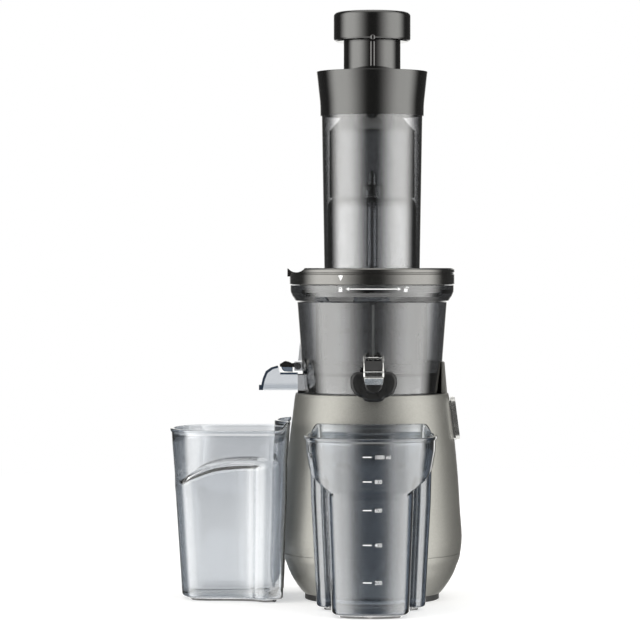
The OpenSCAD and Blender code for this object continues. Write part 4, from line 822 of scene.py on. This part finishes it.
def band(middle: Flat, r_out: float, r_in: float, start: float, end: float, steps: int = 12) -> Shape:
    """Returns a flat arc with a width, from start to end in degrees."""
    points = []
    for a in spread(math.radians(start), math.radians(end), steps):
        points += [(middle[0] + r * math.cos(a), middle[1] + r * math.sin(a)) for r in (r_in, r_out)]
    return points, [(2 * i, 2 * i + 1, 2 * i + 3, 2 * i + 2) for i in range(steps)]


def printed(name: str, shapes: Sequence[Shape], wrap: Callable[[float, float, float], Spot]) -> bpy.types.Object:
    """Lays flat shapes on a curved wall as a film of ink.

    Args:
        name: The piece's name.
        shapes: Flat shapes, each as points and faces.
        wrap: Gives the place of a flat point at a height above the wall.

    Returns:
        The new object.
    """
    made = bmesh.new()
    for points, faces in shapes:
        verts = [made.verts.new(Vector(wrap(x, y, INK_T)) * MM) for x, y in points]
        for face in faces:
            try:
                made.faces.new([verts[i] for i in face])
            except ValueError:
                LOG.debug("%s: a face came twice", name)
    return link_mesh(name, made, WHITE_INK)


@dataclass
class SpoutCap:
    """The spout's rubber cap and the wire buckle that holds it shut.

    A place on them is given by its distances across and up from the spout's middle and out from the drive axis.
    """

    spout_z: float = 184.6
    wide: float = 38.0
    up: float = 10.6
    down: float = 14.4
    # The hinge pin, out and up, and the radius of the wire's curl round it
    pin: Flat = (69.5, 21.4)
    curl_r: float = 1.95
    wire_half: float = 7.9
    wire_r: float = 0.72
    rod_r: float = 0.62
    # The thumb tab's half width, its height above the middle and its bow's drop below it
    tab_half: float = 7.5
    tab_top: float = 5.6
    tab_bow: float = 6.6

    # Right half of the cap's outline from its top: share of the width, share of the height up or down
    OUTLINE = [
        (0, 0.72), (0.14, 0.78), (0.26, 0.95), (0.36, 1), (0.44, 0.86), (0.5, 0.46), (0.5, -0.06),
        (0.43, -0.5), (0.31, -0.72), (0.25, -0.76), (0.2, -0.92), (0.1, -1), (0, -1),
    ]
    # How far each ring of the cap and of its tab is moved in, and how far out it lies
    SKIN = [
        (0.9, 75.8), (0.25, 76.0), (0, 76.6), (0, 79.8), (0.25, 80.9), (0.8, 81.8), (1.7, 82.4), (2.9, 82.7),
        (4.2, 82.4), (4.8, 82.3),
    ]
    TAB_SKIN = [(-0.3, 82.0), (-0.2, 82.9), (0.1, 83.3), (0.6, 83.45), (1.1, 83.2), (1.5, 83.1)]
    # Radius of each ring of the plug, and how far out it lies
    PLUG = [(5.0, 71.9), (5.7, 72.1), (6.0, 72.8), (6.6, 75.6), (6.9, 76.4)]
    # The wire's run below its curl, out and up, and its foot across the cap, across and up
    WIRE = [(74.5, 20.6), (78.2, 18.3), (81.4, 15.6), (83.6, 12.8), (84.7, 10.0), (85.0, 8.0)]
    WIRE_FOOT = [(-7.9, 6.9), (-7.4, 6.3), (-6.6, 6.0), (6.6, 6.0), (7.4, 6.3), (7.9, 6.9)]
    # Side views of the strap and the plate, out and up, and where each is cut across
    STRAP = [(77.2, 19.3), (77.9, 19.5), (84.3, 11.9), (84.2, 11.4), (83.6, 11.2), (77.1, 18.6)]
    STRAP_CUTS = (-6.9, -6.7, 6.7, 6.9)
    PLATE = [(83.2, 9.8), (84.9, 9.7), (85.3, 9.4), (85.2, 7.5), (84.8, 7.2), (83.2, 7.1)]
    PLATE_CUTS = (-7.6, -7.3, 7.3, 7.6)
    # The rod's stops across, and its place up and out
    ROD_CUTS = (-8.4, -8.2, 8.2, 8.4)
    ROD = (10.55, 85.2)
    # Front view of the thumb lip, and how far each of its rings is moved in and its share of the lip's reach
    LIP = [(-6.9, -0.3), (6.9, -0.3), (7.45, 0.1), (8.2, 5.1), (7.8, 5.6), (-7.8, 5.6), (-8.2, 5.1), (-7.45, 0.1)]
    LIP_SKIN = ((0, 0), (0, 0.7), (0.12, 0.9), (0.4, 1))
    # Where the lip's face stands out at its foot, its reach there, and what the reach gains up to its top
    LIP_FACE = (82.9, 0.7, 3.7)

    def spot(self, across: float, up: float, out: float) -> Spot:
        """Returns a place by its distances across, up and out."""
        return (across, -out, self.spout_z + up)

    def disc(self, radius: float, out: float) -> list[Spot]:
        """Returns a round ring about the spout's middle."""
        turns = [math.tau * k / 48 for k in range(48)]
        return [self.spot(radius * math.cos(a), radius * math.sin(a), out) for a in turns]

    def cut(self, side: Sequence[Flat], places: Sequence[float]) -> list[list[Spot]]:
        """Returns a side view, out and up, repeated at places across."""
        return [[self.spot(x, up, out) for out, up in side] for x in places]

    def rubber(self) -> None:
        """Builds the butterfly cap, its plug in the spout and its thumb tab."""
        half = [(a * self.wide, b * (self.up if b > 0 else self.down)) for a, b in self.OUTLINE][::-1]
        plan = smooth_loop(half + [(-x, y) for x, y in half[-2:0:-1]], 4)
        bow = [(7.3 * math.cos(a), -0.5 + self.tab_bow * math.sin(a)) for a in spread(-math.pi, 0, 20)]
        tab = bow + [(self.tab_half, self.tab_top), (-self.tab_half, self.tab_top)]
        wings = [[self.spot(x, y, out) for x, y in moved_in(plan, t)] for t, out in self.SKIN]
        thumb = [[self.spot(x, y, out) for x, y in moved_in(tab, t)] for t, out in self.TAB_SKIN]
        plug = [self.disc(r, out) for r, out in self.PLUG]
        for name, rings in (("drip_cap_wings", wings), ("drip_cap_plug", plug), ("drip_cap_tab", thumb)):
            placed(loft(name, rings, BLACK_RUBBER), "spout_cap", "black_rubber", "drip_cap")

    def wire(self) -> None:
        """Builds the wire, which curls round the hinge pin at both ends."""
        y, z = self.pin
        curl = [
            (y + self.curl_r * math.cos(a), z + self.curl_r * math.sin(a))
            for a in spread(math.radians(330), math.radians(60), 18)
        ]
        side = curl + self.WIRE
        left = [self.spot(-self.wire_half, up, out) for out, up in side]
        foot = [self.spot(x, up, side[-1][0]) for x, up in self.WIRE_FOOT]
        right = [self.spot(self.wire_half, up, out) for out, up in side[::-1]]
        wire = loft("cap_buckle_wire", swept(left + foot + right, self.wire_r), CHROME, 60)
        placed(wire, "spout_cap", "chrome", "cap_buckle")

    def plates(self) -> None:
        """Builds the strap between the wires, the rod, the plate under it and the thumb lip."""
        strap = loft("cap_buckle_strap", self.cut(self.STRAP, self.STRAP_CUTS), BLACK_RUBBER)
        placed(strap, "spout_cap", "black_rubber", "cap_buckle")
        rod = swept([self.spot(x, *self.ROD) for x in self.ROD_CUTS], self.rod_r)
        placed(loft("cap_buckle_rod", rod, SATIN_NICKEL), "spout_cap", "chrome", "cap_buckle")
        plate = loft("cap_buckle_plate", self.cut(self.PLATE, self.PLATE_CUTS), CHROME)
        placed(plate, "spout_cap", "chrome", "cap_buckle")
        foot, reach, gain = self.LIP_FACE
        low = self.LIP[0][1]
        rings = [
            [self.spot(x, up, foot + share * (reach + gain * max(0.0, up - low) / (self.tab_top - low)))
             for x, up in moved_in(self.LIP, t)]
            for t, share in self.LIP_SKIN
        ]
        placed(loft("cap_buckle_lip", rings, SATIN_NICKEL), "spout_cap", "chrome", "cap_buckle")

    def build(self) -> None:
        """Builds the cap and its buckle."""
        self.rubber()
        self.wire()
        self.plates()


@dataclass
class LeverWeb:
    """The clear web under the pulp lever, which closes the gap between the lever and the outlet's hood."""

    half: float = 9.2

    # Side view, and the rings from cheek to cheek: share of the half width, share of the side view
    SIDE = [(-77.2, 196.9), (-76.4, 194.6), (-74.6, 192.9), (-70.6, 192.6), (-67.4, 192.6), (-67.4, 196.6)]
    CHEEKS = ((-1.0, 0.9), (-0.96, 0.96), (-0.88, 1.0), (0.88, 1.0), (0.96, 0.96), (1.0, 0.9))

    def build(self) -> None:
        """Builds the web as one block with rounded cheeks, inside the lever's swing."""
        x0, z0 = (sum(p[k] for p in self.SIDE) / len(self.SIDE) for k in (0, 1))
        rings = [
            [(x0 + (x - x0) * share, y * self.half, z0 + (z - z0) * share) for x, z in self.SIDE]
            for y, share in self.CHEEKS
        ]
        placed(loft("lever_web", rings, PALE_SMOKE), "lever", "cup_clear")


@dataclass
class StemRib:
    """A raised rib on the front of the pusher's stem or cap, which shows the pusher's front."""

    name: str
    stem_r: float
    low: float
    high: float
    half: float = 1.8
    proud: float = 1.1

    # Cross-section in half widths and heights, and the ends: distance from the end, share of the section
    SECTION = [(-1, -0.6), (-1, 0.45), (-0.72, 0.85), (-0.3, 1), (0.3, 1), (0.72, 0.85), (1, 0.45), (1, -0.6)]
    ENDS = [(0.0, 0.5), (0.35, 0.8), (1.0, 0.97), (1.6, 1.0)]

    def ring(self, z: float, share: float) -> list[Spot]:
        """Returns the rib's cross-section at a height, drawn back to the stem by a share."""
        return [(a * self.half * share, -(self.stem_r + b * self.proud * share), z) for a, b in self.SECTION]

    def build(self) -> None:
        """Builds the rib, with rounded ends."""
        rings = [self.ring(self.low + d, s) for d, s in self.ENDS]
        rings += [self.ring(self.high - d, s) for d, s in reversed(self.ENDS)]
        placed(loft(self.name, rings, CAP_GUNMETAL), "pusher", "gunmetal_plastic")


@dataclass
class CupScale:
    """The printed scale on the front of the juice cup."""

    cup: Cup
    tick_from: float = -5.8
    tick_to: float = 1.3
    tick_t: float = 0.9
    figures_from: float = 3.7
    figures_h: float = 3.2
    figures_narrow: float = 0.86

    LEVELS = [(130.5, "1000 ml"), (110.8, "800"), (87.9, "600"), (60.0, "400"), (29.8, "200")]

    def build(self) -> None:
        """Prints a tick and its figures at each level."""
        shapes = []
        for z, words in self.LEVELS:
            shapes.append(strip(self.tick_from, self.tick_to, z - self.tick_t / 2, z + self.tick_t / 2, 4))
            points, faces = lettering(words, self.figures_h, self.figures_narrow)
            shapes.append(([(self.figures_from + x, z - self.figures_h / 2 + y) for x, y in points], faces))
        placed(printed("cup_scale_print", shapes, self.cup.front_spot), self.cup.name, "cup_clear")


@dataclass
class LockMarks:
    """White turn-to-lock marks on the bowl's rim and on the lid."""

    rim_r: float = 69.7
    lid_r: float = 70.2
    mark_z: float = 263.2
    lid_z: float = 272.3
    arrow_half: float = 23.4
    arrow_t: float = 0.9
    head: float = 3.0
    head_half: float = 1.5
    lock_x: float = -28.0
    open_x: float = 27.6
    lid_x: float = -27.8

    # The padlock: half width, foot and top of its body, and its shackle's radii
    BODY = (1.7, -2.4, 0.3)
    SHACKLE = (1.5, 0.8)
    # The pointer on the lid, about its own middle
    POINTER = [(-2.1, 1.9), (-1.0, 2.3), (1.0, 2.3), (2.1, 1.9), (0.3, -2.2), (-0.3, -2.2)]

    def around(self, radius: float, height: float) -> Callable[[float, float, float], Spot]:
        """Returns what wraps a flat point, x measured round the wall, on a wall about the drive axis."""

        def wrap(x: float, z: float, out: float) -> Spot:
            """Returns the place of the flat point, out from the wall."""
            a = x / radius
            return ((radius + out) * math.sin(a), -(radius + out) * math.cos(a), height + z)

        return wrap

    def padlock(self, x: float, shut: bool) -> list[Shape]:
        """Returns a plain padlock about x, shut or open."""
        half, foot, top = self.BODY
        body = strip(x - half, x + half, foot, top, 2)
        if shut:
            return [body, band((x, top), *self.SHACKLE, 0, 180), strip(x - 0.3, x + 0.3, -1.6, -0.7)]
        return [body, band((x + 1.3, 2 * top), *self.SHACKLE, 10, 190), strip(x - 0.2, x + 0.5, top, 0.8)]

    def build(self) -> None:
        """Prints the arrow and padlocks on the bowl, and the pointer on the lid."""
        half, neck = self.arrow_half, self.arrow_half - self.head
        shapes = [strip(-neck, neck, -self.arrow_t / 2, self.arrow_t / 2, 24)]
        for side in (-1, 1):
            shapes.append(fan([(side * half, 0), (side * neck, self.head_half), (side * neck, -self.head_half)]))
        shapes += self.padlock(self.lock_x, True) + self.padlock(self.open_x, False)
        marks = printed("bowl_lock_print", shapes, self.around(self.rim_r, self.mark_z))
        placed(marks, "bowl", "smoke_clear")
        pointer = fan([(self.lid_x + x, z) for x, z in self.POINTER])
        placed(printed("lid_pointer_print", [pointer], self.around(self.lid_r, self.lid_z)),
               "lid", "gunmetal_plastic")


@dataclass(frozen=True)
class SideLamp:
    """A tall soft lamp beside the camera, by its azimuths from the camera's side in degrees."""

    glow: float
    start: float = 8.0
    full: float = 62.0
    fade: float = 80.0
    end: float = 116.0


@dataclass(frozen=True)
class Studio:
    """Floor, lit sky and the camera at the photograph's place."""

    left: SideLamp = SideLamp(3.1)
    right: SideLamp = SideLamp(2.8)
    # Radiance of the top lamp, of the wall behind the part, and of the sky between the lamps
    top: float = 1.3
    back: float = 1.1
    dim: float = 0.06
    # Azimuths where the wall behind starts and is full
    back_from: float = 158.0
    back_full: float = 170.0
    # Glow of the white floor, which only surfaces that lean forwards and down reflect
    floor_glow: float = 0.9
    eye: Spot = (-44.2, -2550.0, 285.6)
    aim: Spot = (-44.2, 0.0, 236.3)
    frame_half: float = 272.0
    lamp_tint: tuple[float, float, float, float] = (1, 0.995, 0.975, 1)
    # The floor's radius in metres, and where its paper starts to fade into white and is all white
    floor_r: float = 6.0
    fade_from: float = 0.5
    fade_full: float = 1.6
    paper: float = 0.86
    paper_lift: float = 0.42

    def camera(self) -> None:
        """Places the camera, level with the lid and looking a little down."""
        data = bpy.data.cameras.new("camera")
        data.angle = 2 * math.atan(self.frame_half / -self.eye[1])
        data.clip_end = 20
        camera = bpy.data.objects.new("camera", data)
        bpy.context.scene.collection.objects.link(camera)
        camera.location = Vector(self.eye) * MM
        aim = (Vector(self.aim) - Vector(self.eye)).to_track_quat("-Z", "Y")
        camera.rotation_euler = aim.to_euler()
        bpy.context.scene.camera = camera

    def floor(self) -> None:
        """Lays a plain white floor that runs out into the white of the background."""
        material, tree = fresh_tree("white_studio_floor")
        place = add(tree, "TexCoord").outputs["Object"]
        far = add(tree, "VectorMath", {"operation": "LENGTH"}, {0: place}).outputs["Value"]
        fade = add(tree, "MapRange", {"interpolation_type": "SMOOTHSTEP"}, {
            "Value": far, 1: self.fade_from, 2: self.fade_full})
        paper = add(tree, "BsdfDiffuse", None, {"Color": (self.paper,) * 3 + (1,)})
        lift = add(tree, "Emission", None, {"Color": (1, 1, 1, 1), "Strength": self.paper_lift})
        near = add(tree, "AddShader", None, {0: paper.outputs[0], 1: lift.outputs[0]})
        white = add(tree, "Emission", None, {"Color": (1, 1, 1, 1), "Strength": 1.0})
        mix = add(tree, "MixShader", None, {0: fade.outputs[0], 1: near.outputs[0], 2: white.outputs[0]})
        add(tree, "OutputMaterial", None, {"Surface": mix.outputs[0]})
        made = bmesh.new()
        bmesh.ops.create_circle(made, cap_ends=True, radius=self.floor_r, segments=64)
        mesh = bpy.data.meshes.new("studio_floor")
        made.to_mesh(mesh)
        made.free()
        mesh.materials.append(material)
        floor = bpy.data.objects.new("studio_floor", mesh)
        floor.visible_glossy = False
        bpy.context.scene.collection.objects.link(floor)

    def patch(self, tree: bpy.types.NodeTree, steps: Sequence[tuple[Any, float, float]], glow: float) -> Any:
        """Gives the glow of one soft patch of the sky.

        Args:
            tree: The world's node tree.
            steps: Soft steps that bound the patch, each as a direction's value, the value where the patch is
                still dark and the value where it is full.
            glow: Radiance where all steps are full.

        Returns:
            The output with the glow.
        """
        share: Any = glow
        for value, dark, full in steps:
            ends = {1: dark, 2: full, 3: 0.0, 4: 1.0} if dark < full else {1: full, 2: dark, 3: 1.0, 4: 0.0}
            step = add(tree, "MapRange", {"interpolation_type": "SMOOTHSTEP"}, {"Value": value, **ends})
            share = add(tree, "Math", {"operation": "MULTIPLY"}, {0: step.outputs[0], 1: share}).outputs[0]
        return share

    def world(self) -> None:
        """Surrounds the part with two tall soft lamps, a top lamp and a white wall behind it.

        The lamps are patches of the sky, by azimuth from the camera's side and by height. The sky is plain
        white where it is seen directly or straight through clear plastic. Every reflection sees the lamps,
        also one that is itself seen through clear plastic.
        """
        world = bpy.data.worlds.new("studio")
        world.use_nodes = True
        world.node_tree.nodes.clear()
        tree = world.node_tree
        way = add(tree, "SeparateXYZ", None, {0: add(tree, "TexCoord").outputs["Generated"]}).outputs
        front = add(tree, "Math", {"operation": "MULTIPLY"}, {0: way["Y"], 1: -1.0}).outputs[0]
        right = add(tree, "Math", {"operation": "ARCTAN2"}, {0: way["X"], 1: front}).outputs[0]
        left = add(tree, "Math", {"operation": "MULTIPLY"}, {0: right, 1: -1.0}).outputs[0]
        away = add(tree, "Math", {"operation": "ABSOLUTE"}, {0: right}).outputs[0]
        patches = [self.patch(tree, [(way["Z"], 0.7, 0.95)], self.top)]
        for side, lamp in ((left, self.left), (right, self.right)):
            patches.append(self.patch(tree, [
                (side, math.radians(lamp.start), math.radians(lamp.full)),
                (side, math.radians(lamp.end), math.radians(lamp.fade)),
                (way["Z"], 0.9, 0.5),
                (way["Z"], -0.8, -0.5),
            ], lamp.glow))
        patches.append(self.patch(tree, [(way["Z"], -0.45, -0.7)], self.floor_glow))
        behind = (away, math.radians(self.back_from), math.radians(self.back_full))
        patches.append(self.patch(tree, [behind, (way["Z"], 0.8, 0.4)], self.back))
        total: Any = self.dim
        for glow in patches:
            total = add(tree, "Math", {"operation": "ADD"}, {0: glow, 1: total}).outputs[0]
        ray = add(tree, "LightPath").outputs
        direct = add(tree, "Math", {"operation": "LESS_THAN"}, {0: ray["Glossy Depth"], 1: 0.5}).outputs[0]
        seen = add(tree, "Math", {"operation": "MAXIMUM"}, {
            0: ray["Is Camera Ray"], 1: ray["Is Transmission Ray"]})
        seen = add(tree, "Math", {"operation": "MULTIPLY"}, {0: seen.outputs[0], 1: direct})
        white = add(tree, "Background", None, {"Color": (1, 1, 1, 1), "Strength": 1.0})
        lamps = add(tree, "Background", None, {"Color": self.lamp_tint, "Strength": total})
        mix = add(tree, "MixShader", None, {0: seen.outputs[0], 1: lamps.outputs[0], 2: white.outputs[0]})
        add(tree, "OutputWorld", None, {"Surface": mix.outputs[0]})
        bpy.context.scene.world = world

    def build(self) -> None:
        """Sets up the camera, the lit sky and the floor."""
        self.camera()
        scene = bpy.context.scene
        scene.view_settings.view_transform = "Standard"
        scene.view_settings.look = "None"
        self.world()
        self.floor()
        LOG.info("studio: camera, floor and lit sky")


def dress_nodes() -> None:
    """Gives each carried-over CAD node its finish."""
    for name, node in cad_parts.items():
        node.data.materials.clear()
        node.data.materials.append(NODE_FINISHES[name].material())
        LOG.info("%s: %s", name, NODE_FINISHES[name].name)


def main() -> None:
    """Builds the studio and dresses the juicer."""
    logging.basicConfig(level=logging.INFO, format="%(message)s")
    Studio().build()
    dress_nodes()
    # The juice cup gets the darker copy of the cup plastic, as painted shade
    juice = Cup("juice_cup", turn=268.5, finish=SHADED_JUICE_CUP_CLEAR)
    juice.build()
    Cup("pulp_cup", turn=180.0, finish=CUP_CLEAR).build()
    CupScale(juice).build()
    LockMarks().build()
    SpoutCap().build()
    LeverWeb().build()
    StemRib("stem_rib", stem_r=24.2, low=449.4, high=472.4).build()
    StemRib("cap_tab", stem_r=32.6, low=471.9, high=476.1).build()


if __name__ == "__main__":
    main()
